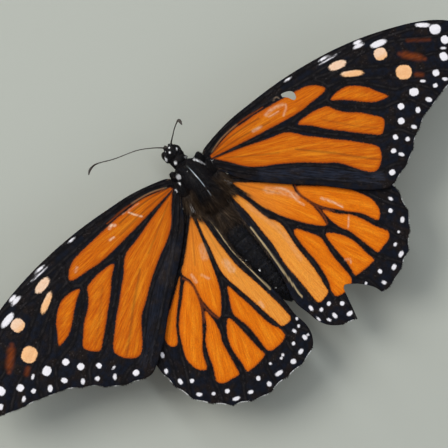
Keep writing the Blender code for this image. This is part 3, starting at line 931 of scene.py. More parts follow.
FOREWING = WingPlan(
    kind="forewing",
    rim=((-1.3, 1.2), (0, 2.2), (5, 4.3), (10, 5.6), (16, 6.85), (22, 7.6), (28, 7.9), (34, 7.65),
         (40, 6.8), (44, 5.9), (47, 4.8), (49.4, 3.4), (51, 1.7), (51.4, 0.2), (51.2, -1.3), (50.2, -3),
         (48.4, -4.5), (45.5, -6.1), (42.8, -7.1), (40, -8.6), (37.7, -9.7), (36, -11.2), (33.8, -13.2),
         (32.4, -15), (30.8, -16.4), (28.9, -17.6), (27, -18.6)),
    hem=((25, -18.7), (20, -16.4), (15, -13.1), (10, -10.4), (6, -8), (3, -5.7), (0.4, -2.9), (-1.1, -1)),
    margin_from=12, scallop=0.22, reach=51.4, droop=1.6,
    cells=(
        ((-0.5, -0.1), (2, 1.3), (4, 2.2), (6, 2.8), (8, 3.05), (10.1, 3.45), (12.6, 3.65), (18.8, 4.1),
         (20.9, 3.95), (22.6, 3.25), (23.5, 2.2), (22.6, 1.6), (20.5, 1.1), (18, 0.5), (15.5, 0.2),
         (12.6, 0.05), (8, -0.1), (2.2, -0.2)),
        ((0.5, -0.5), (6.3, -1), (10.5, -1.55), (13.4, -1.75), (15.1, -2.7), (16.75, -4.05), (18.8, -5.3),
         (20.9, -6.75), (23, -8), (25.1, -9.5), (26.75, -10.7), (27.5, -11.75), (27.2, -13.2),
         (26.5, -14.25), (25.3, -15.2), (23.8, -14.7), (21.75, -12.8), (19.7, -10.9), (17.6, -9.9),
         (15.5, -8.8), (12.6, -7.4), (9.7, -6.3), (7.2, -5.5), (4.7, -4.25), (2.6, -2.4), (0.5, -0.7)),
        ((16.3, -1.4), (18.8, -0.7), (21.3, -0.6), (22.6, -1), (23.8, -2.4), (25.5, -3.6), (27.2, -4.45),
         (28.8, -5.7), (30.3, -6.95), (30.4, -7.8), (29.7, -9), (28.8, -9.65), (27.6, -9.05), (25.9, -8),
         (23, -6.1), (20.5, -4.45), (18.4, -2.8)),
        ((23.4, -0.1), (24.7, 0.65), (26.75, 0.9), (28.4, 0.4), (30.1, -0.7), (31.5, -2.15), (32.8, -3.6),
         (33, -4.05), (31.3, -4.05), (29.7, -3.6), (28, -2.6), (26.3, -1.55), (24.7, -0.7)),
    ),
    veins=(
        ((-0.8, 1), (4, 3.6), (10, 5), (16, 6.2), (22, 6.95), (27, 7.2), (31, 7.4)),
        ((-0.5, 0.7), (5, 2.95), (10, 4.1), (16, 4.75), (22, 5.3), (28, 6.2), (34, 7), (38.5, 6.9)),
        ((22, 4.9), (27, 4.3), (32, 5.2), (37, 5), (42, 3.4), (46, 2.1), (50.9, 1.5)),
        ((33, 5.2), (37, 5.9), (41.5, 5.4), (45, 4.7), (48, 4)),
        ((23.6, 3.4), (27, 3.85), (31, 2.9), (35.5, 1.1), (40, 0.2), (44.5, -0.6), (48, -1.4),
         (50.6, -2.2)),
        ((23.9, 2.4), (27.5, 1.9), (31, 0.6), (34.5, -0.9), (38.5, -2.8), (42, -3.1), (45, -4.4),
         (46.6, -5.4)),
        ((23.3, 0.9), (26.8, 1.35), (29.6, 0.45), (32.2, -1.4), (34.8, -3.4), (37.5, -3.7), (40.4, -5.8),
         (41.3, -7.8)),
        ((22.7, 0.3), (23.6, -1), (25.2, -2.2), (27, -3.15), (28.9, -4.3), (31, -5.4), (33.5, -5.5),
         (36, -6.1), (38, -8), (38.8, -9.2)),
        ((14.3, -1), (16.2, -2.5), (18.2, -3.9), (20.6, -5.55), (23.5, -7.25), (26.5, -9), (29.3, -10.1),
         (32, -10.2), (33.7, -11.8), (34.6, -12.6)),
        ((-0.6, -0.3), (4, -0.5), (8, -0.55), (12, -0.75), (14.3, -1), (16.5, -0.45), (19.5, 0.2),
         (22.7, 0.3), (24, 1.4), (23.9, 2.6), (23.2, 3.8), (22, 4.9)),
        ((-0.2, -0.9), (3, -3.1), (7, -5.95), (12.5, -7.95), (17.5, -10.4), (21.7, -13.3), (25, -15.6),
         (28.2, -15.5), (30.9, -16.3)),
        ((-0.6, -1.2), (4, -5.1), (10, -8.8), (17, -13), (24.5, -17.2)),
    ),
    peach=rows_of(
        Spot, (27.25, 5.05, 3.2, 1.45, -3), (29, 2.55, 3.9, 1.1, -20), (35.1, 3.55, 2.3, 2.2),
        (37.45, -1.25, 2.8, 2.6, -20)),
    rusts=rows_of(
        Rub, (((38.9, 1.55), (40, 0.75), (41.2, -0.15)), 1.05, 0.85, 0),
        (((38.2, 2.05), (41.9, -0.7)), 0.65, 0.6, 0), (((39.3, -2.6), (40.2, -3.1)), 0.7, 0.6, 0),
        (((40.6, 3.6), (42.4, 2.85), (44.2, 2.1)), 0.6, 0.35, 0),
        (((0.8, 1), (4, 2.55), (8, 3.55), (12, 4.05)), 0.17)),
    folds=rows_of(
        Rub, (((0.4, 0.5), (4, 1.6), (7.5, 2.2), (10.5, 2.5)), 0.24, 0.75, 0),
        (((0.4, 0.1), (4.5, 0.7), (9, 1), (12, 1.1)), 0.24, 0.6, 0),
        (((2, -1.2), (7, -3.2), (11, -4.6)), 0.24, 0.45, 0),
        (((14, -5.4), (19, -8.5), (23.5, -11.6), (26.6, -13.6)), 0.34, 0.55, 0),
        (((20.5, -2.6), (25, -6), (28.6, -8.3)), 0.3, 0.3, 0)),
    stations=330, lanes=88)

HINDWING = WingPlan(
    kind="hindwing",
    rim=((-1.1, 0.9), (0.6, 2.6), (4, 5.6), (8.5, 8.9), (13, 11.6), (18, 13.6), (21.5, 14.1), (24.5, 13.4),
         (27, 12.3), (29.6, 10.5), (31.3, 8.9), (32.2, 7.2), (33.1, 5.2), (33.8, 3.6), (33.9, 2),
         (34.1, 0.6), (34, -1.2), (34, -2.8), (33.2, -4.6), (32.4, -6.2), (31.7, -8.2), (30.7, -10.4),
         (29.8, -11.8), (28.4, -13.1)),
    hem=((26.3, -13.8), (24.2, -13.3), (22.2, -12.1), (19.1, -10.9), (15.4, -9), (8.8, -6), (3.6, -3.9),
         (0.6, -2.2), (-0.9, -0.8)),
    margin_from=7, scallop=0.3, reach=34, droop=0.9,
    cells=(
        ((10, 5.3), (13.5, 7.7), (16, 9.4), (17.9, 10.5), (19.75, 11.06), (20.8, 10.7), (21.25, 9.9),
         (20.7, 9.1), (17.9, 8.5), (14.75, 7.2), (12.25, 6.1)),
        ((11, 4.7), (13.5, 5.97), (16, 7.2), (18.5, 8.2), (21, 8.5), (23.8, 8.6), (25.2, 8), (26.2, 7.2),
         (26.6, 6.1), (26.2, 5.6), (23.5, 5.5), (21, 4.7), (17.9, 3.8), (16, 3.4), (13.5, 3.5),
         (11.9, 3.8)),
        ((16.9, 3), (19.75, 3.6), (21.6, 4.4), (24.1, 4.7), (26.6, 4.6), (28.8, 4.8), (29.6, 4.25),
         (29.7, 3.3), (29.4, 1.75), (29, 0.65), (27.25, 0.9), (24.75, 1.4), (22.9, 1.75), (21, 1.6),
         (18.8, 2.06)),
        ((19.4, -0.4), (21, 0.35), (23.2, 0.65), (25.1, 0.4), (27.25, -0.3), (29, -0.75), (29, -1.4),
         (28.2, -3.25), (27.25, -4.6), (26.6, -4.4), (25.1, -3.6), (22.9, -2.6), (21, -1.7), (19.9, -1.06)),
        ((14, -2.2), (16, -1.75), (18.5, -1.5), (19.75, -2), (21.6, -3.25), (24.1, -4.3), (26, -4.97),
         (26.9, -5.75), (26.6, -7), (26, -8.25), (25.1, -9), (23.8, -8.6), (22.6, -7.3), (20.4, -5.9),
         (17.9, -4.66), (16, -3.6)),
        ((0.3, -0.78), (3.8, -1.02), (6.9, -1.54), (11, -1.98), (12.9, -2.75), (14.75, -3.9), (17.25, -5.3),
         (20.4, -7), (22.6, -8.4), (23.4, -9), (23.3, -10), (22.6, -10.9), (21, -10.35), (17.9, -8.85),
         (14.75, -7.25), (11.6, -5.3), (8.5, -4), (5.4, -2.9), (2.25, -1.9)),
        ((0.4, 0.2), (2.25, 1.1), (5.4, 2.6), (7.9, 3.9), (9.1, 4.7), (10.06, 4.7), (11, 3.9), (12.25, 3.4),
         (14.75, 3), (16, 2.5), (17.6, 1.75), (18.7, 0.97), (18.3, 0.5), (16.6, -0.1), (14.75, -0.6),
         (12.25, -0.84), (9.75, -0.84), (5.4, -0.44), (2.25, -0.1)),
    ),
    veins=(
        ((-0.4, 0.8), (4, 4.8), (8.5, 8), (13, 10.6), (18, 12.6), (22.5, 12.9), (25.4, 12.9)),
        ((0, 0.5), (2.25, 1.5), (5.4, 3), (8, 4.4), (9.6, 5.05), (12, 5.55), (14.2, 6.65), (17, 7.95),
         (20, 8.75), (22.5, 9.15), (25.5, 9.2), (28, 9.5), (30.4, 9.9)),
        ((8.6, 4.7), (12, 7.4), (16.5, 10.4), (20.5, 11.5), (24, 11.2), (28.4, 11.4)),
        ((10.3, 5), (11.3, 4.2), (12.6, 3.5), (14.75, 3.2), (16.4, 2.75), (17.9, 1.95), (18.9, 1.1)),
        ((14.6, 3.25), (16.6, 3.25), (18.9, 3.75), (21.3, 4.6), (23.8, 5.15), (26.6, 5.2), (29.5, 5),
         (33.1, 4.7)),
        ((18.9, 1.1), (20.8, 1.1), (23, 1.2), (25.2, 0.9), (27.3, 0.35), (29.4, 0.1), (31.5, 0.6), (34, 1)),
        ((18.7, 0.3), (19.1, -0.9), (20.4, -1.8), (22.3, -2.95), (24.6, -3.95), (26.6, -4.8), (29.4, -4.3),
         (31.6, -4.8), (33, -5.2)),
        ((11.5, -1.5), (13.4, -2.4), (15.4, -3.75), (17.6, -5), (20.4, -6.5), (22.8, -8), (24.6, -9.2),
         (26.8, -9.1), (28.8, -9.9), (30.2, -11.1)),
        ((-0.2, -0.2), (3, -0.7), (6, -1.1), (9.5, -1.45), (12.5, -1.55), (15, -1.2), (17.3, -0.65),
         (18.7, 0.3), (18.9, 1.1)),
        ((-0.4, -0.6), (2.3, -2.2), (5.5, -3.3), (8.6, -4.5), (11.8, -5.8), (15, -7.6), (18.1, -9.2),
         (21.3, -10.9), (23.5, -11.5), (25.7, -13.2)),
    ),
    peach=(),
    rusts=rows_of(
        Rub, (((14.6, 3.25), (16.6, 3.25), (18.9, 3.75)), 0.2, 0.6),
        (((10.5, 4.9), (11.3, 4.2), (12.6, 3.5), (14.75, 3.2), (16.4, 2.75), (17.9, 1.95), (18.8, 1.2)),
         0.24, 0.7)),
    folds=rows_of(
        Rub, (((0.8, 0.3), (5, 1.2), (9, 2.2)), 0.26, 0.35, 0),
        (((2, -1.3), (9, -2.7), (13, -4.2)), 0.26, 0.25, 0)),
    stations=270, lanes=104)

FOREWING_SPOTS = rows_of(
    Spot, (18.2, 6.6, 1.2, 0.34, 8), (25.5, 7.25, 1.8, 0.42, 8), (26.25, 6.7, 3, 0.28, 6),
    (32.3, 7.25, 1.5, 0.6), (32.2, 6.55, 1.9, 0.55), (35.6, 5.4, 2.9, 1.1, -4), (44.3, 5, 2.4, 0.8, -25),
    (46, 3.35, 2, 1.8, -20), (46.75, 0.85, 1.4, 1.5), (45.2, -1.8, 1.4, 1.6), (42.6, -3.9, 1.2, 1.15),
    (39.8, -4.2, 0.9, 0.45, -30), (37.5, -5.3, 1.65, 1.4, -20), (34.25, -6.65, 1.15, 1.1),
    (33.1, -9.05, 1.15, 1.15), (30.9, -11.2, 0.85, 0.95), (27.6, -16.7, 1.1, 0.95),
    (45.8, -0.4, 0.9, 0.4, -20), (47.2, -3.6, 1, 0.8, -30), (43.6, -5.6, 1, 0.6, -30),
    (41.5, -5.9, 0.8, 0.7), (39.3, -7.7, 1.1, 0.8, -35), (36.7, -8.55, 0.85, 1, -30),
    (34.7, -11, 1, 0.65, -40), (32.7, -12.5, 0.8, 0.75), (30.5, -14.5, 1, 0.6, -40), (48.9, 2, 1, 0.7, -50),
    (49.8, 0.4, 0.9, 0.6, -75), (49.5, -1.4, 0.9, 0.7, -60), (48.7, -2.8, 0.7, 0.5, -40))
RIGHT_FOREWING_SPOTS = rows_of(Spot, (29.5, -13.3, 0.9, 0.8))
LEFT_FOREWING_SPOTS = rows_of(Spot, (29.5, -13.3, 0.7, 0.35))
LEFT_HINDWING_SPOTS = rows_of(
    Spot, (22, 12.3, 1.1, 0.7), (24.8, 12.5, 1, 0.7), (27.2, 10.75, 1.2, 0.8, -20), (27.7, 8.8, 0.8, 0.8),
    (30.3, 8.3, 0.7, 1.1, 20), (30.9, 5.9, 0.7, 0.7), (31.2, 3.5, 0.8, 0.9), (32.9, 2.4, 0.7, 1.4),
    (32.6, -0.3, 0.7, 1), (30.75, -2.3, 0.9, 0.8), (32.25, -3.8, 1, 0.9, -20), (29, -5.06, 0.5, 0.5),
    (31, -6, 0.8, 1.6, -15), (28.65, -7.15, 0.5, 0.5), (28.2, -7.6, 0.6, 0.5), (29.84, -9, 1, 1.1),
    (26.9, -10, 0.7, 0.7), (24.9, -10.8, 0.9, 0.6, -30), (28.6, -10.8, 0.8, 1.2, -35),
    (26.5, -12.2, 1.1, 0.8, -20), (24.3, -11.8, 0.6, 0.6), (23, -11.9, 0.6, 0.5), (26.2, -12.9, 0.5, 0.4))
RIGHT_HINDWING_SPOTS = rows_of(
    Spot, (22, 12.3, 1.1, 0.7), (24.6, 12.2, 0.9, 0.6), (26.9, 10.1, 0.9, 0.6), (27.8, 8.2, 0.8, 0.8),
    (30.4, 7.7, 0.8, 1.1, 20), (30.75, 5.5, 0.5, 0.5), (31.2, 3.25, 0.6, 0.8), (32.9, 2.2, 0.8, 1.2),
    (32.8, -0.4, 0.8, 1.1), (30.9, -2.2, 0.8, 0.8), (32.4, -3.6, 0.9, 0.6), (29.4, -5, 0.5, 0.5),
    (26.8, -9.7, 0.8, 0.8), (28.8, -10.7, 0.8, 1.2, -30), (24.7, -10.8, 0.7, 0.8), (24, -12.3, 0.7, 0.8),
    (26.6, -12.2, 1.1, 0.7, -20), (26, -13.3, 0.8, 0.5), (22.25, -12.9, 1.1, 0.6, -30),
    (24.3, -14, 1, 0.4, -15))
LEFT_WHITE, RIGHT_WHITE = 0.86, 0.92         # the share of a hindwing spot's size that is white

# The torn wedge of the right hindwing, closed outside the margin, and the hole in the right forewing.
TORN_WEDGE = ((34.1, -3.6), (33.3, -5), (31.3, -4.9), (29.4, -5.2), (27.3, -5.9), (25.7, -6.9),
              (27.2, -8.3), (29, -9.7), (30.5, -10.9), (32.2, -11.8), (36.5, -9), (37, -3.6))
WING_HOLE = ((15.5, 4.5), (16.6, 4.8), (17.9, 4.4), (18.2, 3.3), (17.6, 2.7), (16.7, 3.7))


@dataclass
class Wing:
    """One wing: a thin blade with raised veins, its markings and its fringe.

    Attributes:
        plan: what both sides share.
        side: left or right.
        hinge: where it joins the thorax, on the left side's X.
        sweep: turn towards the tail in degrees.
        size: scale along U and V.
        rise: height gained per unit out and per unit back.
        spots: white spots.
        wear: worn places.
        creams, sheens: pale lines, and where the black shines blue.
        white_fringe: share of the margin whose fringe is white.
        hem_shift: how far the inner margin lies towards V, as pairs of U and shift, and
            drawn: how far the pattern before it does.
        trail: how much further out and inwards the inner lobe lies.
        widened: how much broader the innermost orange strip is.
        cuts: outlines missing from the blade.
        thickness: of the blade, and swell: how far it rises between its veins.
        vein_half: half thickness of a vein at hinge and tip.
        seed: start of the fringe's chance numbers.
    """

    plan: WingPlan
    side: Side
    hinge: Place
    sweep: float
    size: Pair
    rise: Pair
    spots: tuple[Spot, ...]
    wear: tuple[Rub, ...] = ()
    hem_shift: Rows = ()
    drawn: float = 0.0
    trail: Pair = (0.0, 0.0)
    widened: float = 0.0
    cuts: tuple[Rows, ...] = ()
    thickness: float = 0.11
    swell: float = 0.14
    creams: tuple[Rub, ...] = ()
    sheens: tuple[Rub, ...] = ()
    vein_half: Pair = (0.26, 0.13)
    white_fringe: float = 0.4
    seed: int = 1

    @property
    def name(self) -> str:
        """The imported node's name."""
        return f"{self.plan.kind}_{self.side.label}"

    def outline(self) -> tuple[Array, Array, Array]:
        """The rim and hem as smooth paths, and the scalloped margin, which is the rim's last stretch."""
        steps = 6
        hem = np.array(self.plan.hem, float)
        if self.hem_shift:
            hem[:, 1] += np.interp(hem[:, 0], *np.array(self.hem_shift).T)
        whole = smooth_path(np.vstack([self.plan.rim, hem]), steps)
        rim = whole[:(len(self.plan.rim) - 1) * steps + 1]
        return rim, whole[(len(self.plan.rim) - 1) * steps:], rim[self.plan.margin_from * steps:]

    def lattice(self) -> tuple[Array, Array]:
        """Points that fill the outline, and their quads.

        Stations along U crowd where either edge runs steeply: their density is
        sqrt(1 + slope^2). At a station the points are shared evenly between the edges.
        """
        rim, hem, _ = self.outline()
        turn = rim[:, 0].argmax()
        upper, lower = rim[:turn + 1], np.vstack([rim[turn:], hem])[::-1]
        fine = np.linspace(max(upper[0, 0], lower[0, 0]) + 0.01, rim[turn, 0] - 0.004, FINE_STATIONS)
        edges = [np.interp(fine, np.maximum.accumulate(path[:, 0]) + 1e-6 * np.arange(len(path)), path[:, 1])
                 for path in (lower, upper)]
        slope = np.abs(np.gradient(np.array(edges), fine, axis=1)).max(axis=0)
        spent = np.cumsum(np.sqrt(1.0 + np.minimum(slope, STEEPEST) ** 2))
        u = np.interp(np.linspace(spent[0], spent[-1], self.plan.stations), spent, fine)
        low, high = (np.interp(u, fine, edge) for edge in edges)
        share = np.linspace(0.0, 1.0, self.plan.lanes)
        v = low[:, None] + (high - low)[:, None] * share
        flat = np.stack([np.broadcast_to(u[:, None], v.shape), v], axis=-1).reshape(-1, 2)
        return flat, grid_faces(self.plan.stations, self.plan.lanes)

    def scallop(self, flat: Array) -> Array:
        """Draws points near the margin inwards, by depth |sin(pi n s)| at arc share s, fading inwards."""
        margin = self.outline()[2]
        found = nearest_on(flat, margin)
        dip = self.plan.scallop * self.wave(margin, found.along)
        inward = unit(margin.mean(axis=0) * INWARD - found.point)
        held = ease(found.along, 0.0, SCALLOP_FADE)
        return flat + inward * (dip * held * fall(found.distance, 0.0, SCALLOP_FADE))[:, None]

    @staticmethod
    def wave(margin: Array, along: Array) -> Array:
        """One between two veins of the margin and zero at them, from the arc length along it."""
        length = np.linalg.norm(np.diff(margin, axis=0), axis=1).sum()
        count = round(length / SCALLOP_LENGTH)
        return np.abs(np.sin(math.pi * count * along / length))

    def trimmed(self, flat: Array, quads: Array) -> tuple[Array, Array]:
        """Drops the quads inside each cut and draws the points round it onto its edge."""
        for rows in self.cuts:
            loop = smooth_loop(rows, 3)
            lost = inside(flat, loop)
            quads = quads[~lost[quads].all(axis=1)]
            moved = np.zeros(len(flat), bool)
            moved[quads[lost[quads].any(axis=1)].ravel()] = True
            moved &= lost
            flat = flat.copy()
            flat[moved] = nearest_on(flat[moved], loop).point
        return flat, quads

    def raise_up(self, flat: Array, extra: Array | float = 0.0) -> Array:
        """Body coordinates of U, V points: swept, raised by the slope, drooping with the cube of U."""
        angle = math.radians(self.sweep)
        lobe = ease(flat[:, 0], *LOBE[0]) * ease(-flat[:, 1], *LOBE[1])
        u = flat[:, 0] * self.size[0] + self.trail[0] * lobe
        v = flat[:, 1] * self.size[1] - self.trail[1] * lobe
        out = u * math.cos(angle) + v * math.sin(angle)
        back = u * math.sin(angle) - v * math.cos(angle)
        reach = np.clip(flat[:, 0] / self.plan.reach, 0.0, 1.0)
        high = self.rise[0] * out + self.rise[1] * back - self.plan.droop * reach ** 3
        x, y, z = self.hinge
        return np.stack([self.side.value * (x + out), y + back, z + high + extra], axis=1)

    def vein_relief(self, flat: Array) -> tuple[Array, Array]:
        """Distance to the nearest vein, and the ridge's height: half an ellipse that thins outwards."""
        away, height = np.full(len(flat), -OUTSIDE), np.zeros(len(flat))
        drawn = self.undrawn(flat)
        share = np.clip(flat[:, 0] / self.plan.reach, 0.0, 1.0)
        half = self.vein_half[0] + (self.vein_half[1] - self.vein_half[0]) * share
        for rows in self.plan.veins:
            distance = nearest_on(drawn, smooth_path(rows, 4)).distance
            ridge = half * RIDGE * np.sqrt(np.clip(1.0 - (distance / half) ** 2, 0.0, 1.0))
            away, height = np.minimum(away, distance), np.maximum(height, ridge)
        return away, height

    def undrawn(self, flat: Array) -> Array:
        """Where the plan shows what this wing shows: the pattern behind the cell is drawn aside."""
        u, v = flat.T
        behind = ease(-v, *BEHIND)
        held = ease(-v, 0.2, 0.9) * ease(u, -1.0, 2.0)
        held = held * fall(u, 9.0 + 5.0 * behind, 15.0 + 5.0 * behind)
        strip = ease(-v - 0.58 * u + 4.8, *STRIP_WIDTH) * ease(u, 4.0, 10.0)
        tip = ease(u, 16.0, 21.0) * behind * fall(u, 24.0, 27.0)
        return np.stack([u - 0.6 * self.widened * tip, v - self.drawn * held + self.widened * strip], axis=1)

    def markings(self, flat: Array) -> dict[str, Array]:
        """Depths inside the orange, peach, white and rusty markings, and the wear, at each point."""
        u, v = flat.T
        nothing = np.zeros(len(flat))
        drawn = self.undrawn(flat)
        cells = [smooth_loop(rows, 3) for rows in self.plan.cells]
        values = {"orange": depth_inside(drawn, cells)}
        for key, spots in (("white", self.spots), ("peach", self.plan.peach)):
            values[key] = np.max([spot.depth(flat) for spot in spots] or [nothing + OUTSIDE], axis=0)
        for key, rubs in (("wear", self.wear), ("cream", self.creams), ("sheen", self.sheens),
                          ("rust", self.plan.rusts), ("fold", self.plan.folds)):
            values[key] = np.max([rub.amount(flat) for rub in rubs] or [nothing], axis=0)
        if self.plan.kind == "hindwing":
            strip = 0.85 * ease(depth_inside(drawn, [cells[INNER_STRIP]]), -0.2, 0.3)
            values["tone"] = np.maximum(strip, 0.35 * fall(u, 6.0, 15.0))
        else:
            values["tone"] = ease(v, 2.4, 4.0) * ease(u, 24.5, 25.5)
        values["lie"] = np.stack([np.hypot(u, v), FAN * np.arctan2(v, u + 3.0), nothing], axis=1)
        values["template"] = np.column_stack([flat, nothing])
        return values

    def build(self, space: BodySpace, material: Material) -> None:
        """Builds the blade: two sheets joined round every open edge."""
        flat, quads = self.lattice()
        flat, quads = self.trimmed(self.scallop(flat), quads)
        values = self.markings(flat)
        away, ridge = self.vein_relief(flat)
        rim, hem, _ = self.outline()
        edge = nearest_on(flat, np.vstack([rim, hem])).distance
        half = self.thickness / 2 * (THIN_EDGE + (1.0 - THIN_EDGE) * ease(edge, 0.0, 0.8))
        swell = self.swell * ease(away, 0.0, 1.6) * ease(edge, 0.0, 2.0)
        ridge = ridge * ease(edge, 0.0, 0.4)
        top, bottom = self.raise_up(flat, half + ridge + swell), self.raise_up(flat, -half - ridge + swell)
        count = len(flat)
        ends = edge_ends(quads)
        open_edge = ends[~np.isin(ends[:, 0] * count + ends[:, 1], ends[:, 1] * count + ends[:, 0])]
        strip = np.column_stack([open_edge[:, ::-1], open_edge + count])
        faces = [quads[:, ::-1], quads + count, strip[:, ::-1]]
        if self.side is Side.LEFT:
            faces = [rows[:, ::-1] for rows in faces]
        draft = Draft()
        values["vein"] = away
        draft.add(np.vstack([top, bottom]), faces,
                  under=np.repeat([0.0, 1.0], count),
                  **{key: np.concatenate([rows, rows]) for key, rows in values.items()})
        draft = self.without_loose(draft)
        draft.build(f"{self.name}_blade", space, material, "wing_scales", [self.name])

    @staticmethod
    def without_loose(draft: Draft) -> Draft:
        """The same shape with only the vertices that a face uses."""
        verts = np.vstack(draft.verts)
        used = np.zeros(len(verts), bool)
        used[np.concatenate([rows.ravel() for rows in draft.faces])] = True
        renumber = np.cumsum(used) - 1
        kept = Draft()
        kept.add(verts[used], [renumber[rows] for rows in draft.faces],
                 **{key: np.concatenate(parts)[used] for key, parts in draft.values.items()})
        return kept

    def fringe(self, space: BodySpace, material: Material) -> None:
        """Rows of narrow vanes round the outer margin, white between the veins and black at them."""
        rng = np.random.default_rng(self.seed)
        margin = self.outline()[2]
        steps = np.linalg.norm(np.diff(margin, axis=0), axis=1)
        length, reach = steps.sum(), np.concatenate([[0.0], np.cumsum(steps)])
        along = np.sort(rng.uniform(0.5, length - 0.1, int(length / FRINGE_SPACING)))
        flat, ahead, behind = (sample(margin, along + shift, reach) for shift in (0.0, 0.1, -0.1))
        run = unit(ahead - behind)
        outward = np.stack([-run[:, 1], run[:, 0]], axis=1)
        outward *= np.sign((outward * (flat - margin.mean(axis=0) * INWARD)).sum(axis=1))[:, None]
        flat = self.scallop(flat)
        wave = self.wave(margin, along)
        kept = rng.uniform(size=len(along)) < 0.35 + 0.6 * ease(np.sin(along * 0.9 + self.seed), -0.7, 0.2)
        for rows in self.cuts:
            kept &= ~inside(flat, smooth_loop(rows, 3))
        flat, outward, wave = flat[kept], outward[kept], wave[kept]
        roots = self.raise_up(flat - 0.08 * outward)
        lie = unit(self.raise_up(flat + outward) - roots)
        total = len(roots)
        low, high = FRINGE_SPAN
        draft = Draft()
        Blade(profile=(0.8, 1.0), flatness=0.35, lift=0.12, settle=0.12).grow(
            draft, roots, np.tile(UP, (total, 1)), lie, rng.uniform(0.2, 0.36, total),
            rng.uniform(0.03, 0.05, total), framed((flat - low) / (high - low)), rng,
            tint=rng.uniform(size=total), brown=np.full(total, 0.15),
            white=(wave > rng.normal(1.0 - self.white_fringe, 0.08, total)).astype(float))
        draft.build(f"{self.name}_fringe", space, material, "wing_scales")


# ---------------------------------------------------------------- body


@dataclass(frozen=True)
class Mark:
    """A white spot on the body: where it lies and how large it is, longer by `stretch` along Y."""

    x: float
    y: float
    z: float
    radius: float
    stretch: float = 1.0
    slant: float = 0.0


def both(x: float, *rest: float) -> list[tuple[float, ...]]:
    """Rows of a mark and of its twin on the right."""
    return [(x, *rest), (-x, *rest)]


HEAD_MARKS = rows_of(
    Mark, (0.14, -5.72, -0.9, 0.17), (-0.74, -4.82, -0.7, 0.2, 1.6, -0.3), (0.57, -5.05, -0.6, 0.19),
    (1, -5.57, -1.1, 0.1), (1.8, -4.5, -1.2, 0.2, 3.4, -0.1), (-1.42, -4.35, -1.5, 0.16, 2.6, 0.1),
    *both(0.5, -6, -2.6, 0.22))
COLLAR_MARKS = rows_of(
    Mark, (0.87, -3.14, -0.95, 0.3, 1.1), (-1.11, -2.91, -0.95, 0.28, 1.1, -0.3),
    *both(1.4, -3, -2.4, 0.26))
THORAX_MARKS = rows_of(
    Mark, (2.27, -0.99, 0.75, 0.42, 1.25), (2.73, 0.04, 0.5, 0.22, 1.5),
    (-2.2, -0.85, 0.6, 0.27, 4.6, 0.46), (0.5, -0.57, 1.5, 0.11), *both(2.1, 0.2, -2.6, 0.4),
    *both(2.3, 3.2, -2.6, 0.42), *both(1.9, -1, -2.2, 0.32), *both(2, 5.6, -2.2, 0.34))
ABDOMEN_MARKS = rows_of(
    Mark, (1.06, 20.45, -1.5, 0.16), (0.72, 24.58, -2.1, 0.15), (-1.9, 24.4, -2.6, 0.13),
    (1.85, 17.6, -1.5, 0.13), (-2, 20.4, -1.9, 0.13))
ROOT_MARKS = rows_of(
    Mark, (3.94, 0.62, 0.3, 0.26, 1.4), (3.45, 4.24, -0.3, 0.3, 1.2), (4.43, 4.83, -0.5, 0.32, 1.2),
    (-3.8, 4.7, -0.1, 0.36, 1.5), (-4.6, -0.7, 0.3, 0.24, 1.2), (-4.1, 0.5, 0.2, 0.22, 1.4))


def whiteness(points: Array, marks: Sequence[Mark]) -> Array:
    """How far each point lies inside the nearest white spot: one at its middle, zero beyond it."""
    best = np.zeros(len(points))
    for mark in marks:
        offset = points - (mark.x, mark.y, mark.z)
        sideways = offset[:, 0] + mark.slant * offset[:, 1]
        reach = np.sqrt(sideways ** 2 + (offset[:, 1] / mark.stretch) ** 2 + 0.35 * offset[:, 2] ** 2)
        best = np.maximum(best, 1.0 - reach / (2.0 * mark.radius))
    return best


SMOOTHING = (0.6, -0.5)      # how far a vertex is drawn to its neighbours' mean, and back
SOCKET = 0.97                # size of the part of an eye on which no hair grows
SPOT_EDGE = (0.45, 0.55)     # whiteness at which a tuft turns white

# On the left side, x, y, z and three radii: tegula, wing roots and coxae; then brow and cheek with
# their segments and rings.
BODY_LUMPS = (
    (2.8, -1.35, 0.65, 0.5, 0.88, 0.36), (2.3, -1, 0.4, 0.75, 0.9, 0.6), (2.9, 0.5, -0.1, 1.6, 1.9, 0.42),
    (2.75, 5, -0.95, 1.6, 1.5, 0.42), (3.1, 3.1, -0.55, 1.55, 2, 0.42), (1.4, 1.4, -4, 0.62, 0.8, 0.95),
    (1.4, 4.3, -3.8, 0.62, 0.85, 1), (0.9, -1.4, -3.3, 0.5, 0.6, 0.6))
HEAD_LUMPS = (
    ((0.55, -5.95, -1.15, 0.27, 0.24, 0.27), (20, 14)), ((1.1, -4.5, -2.15, 0.62, 0.74, 0.98), (32, 22)))


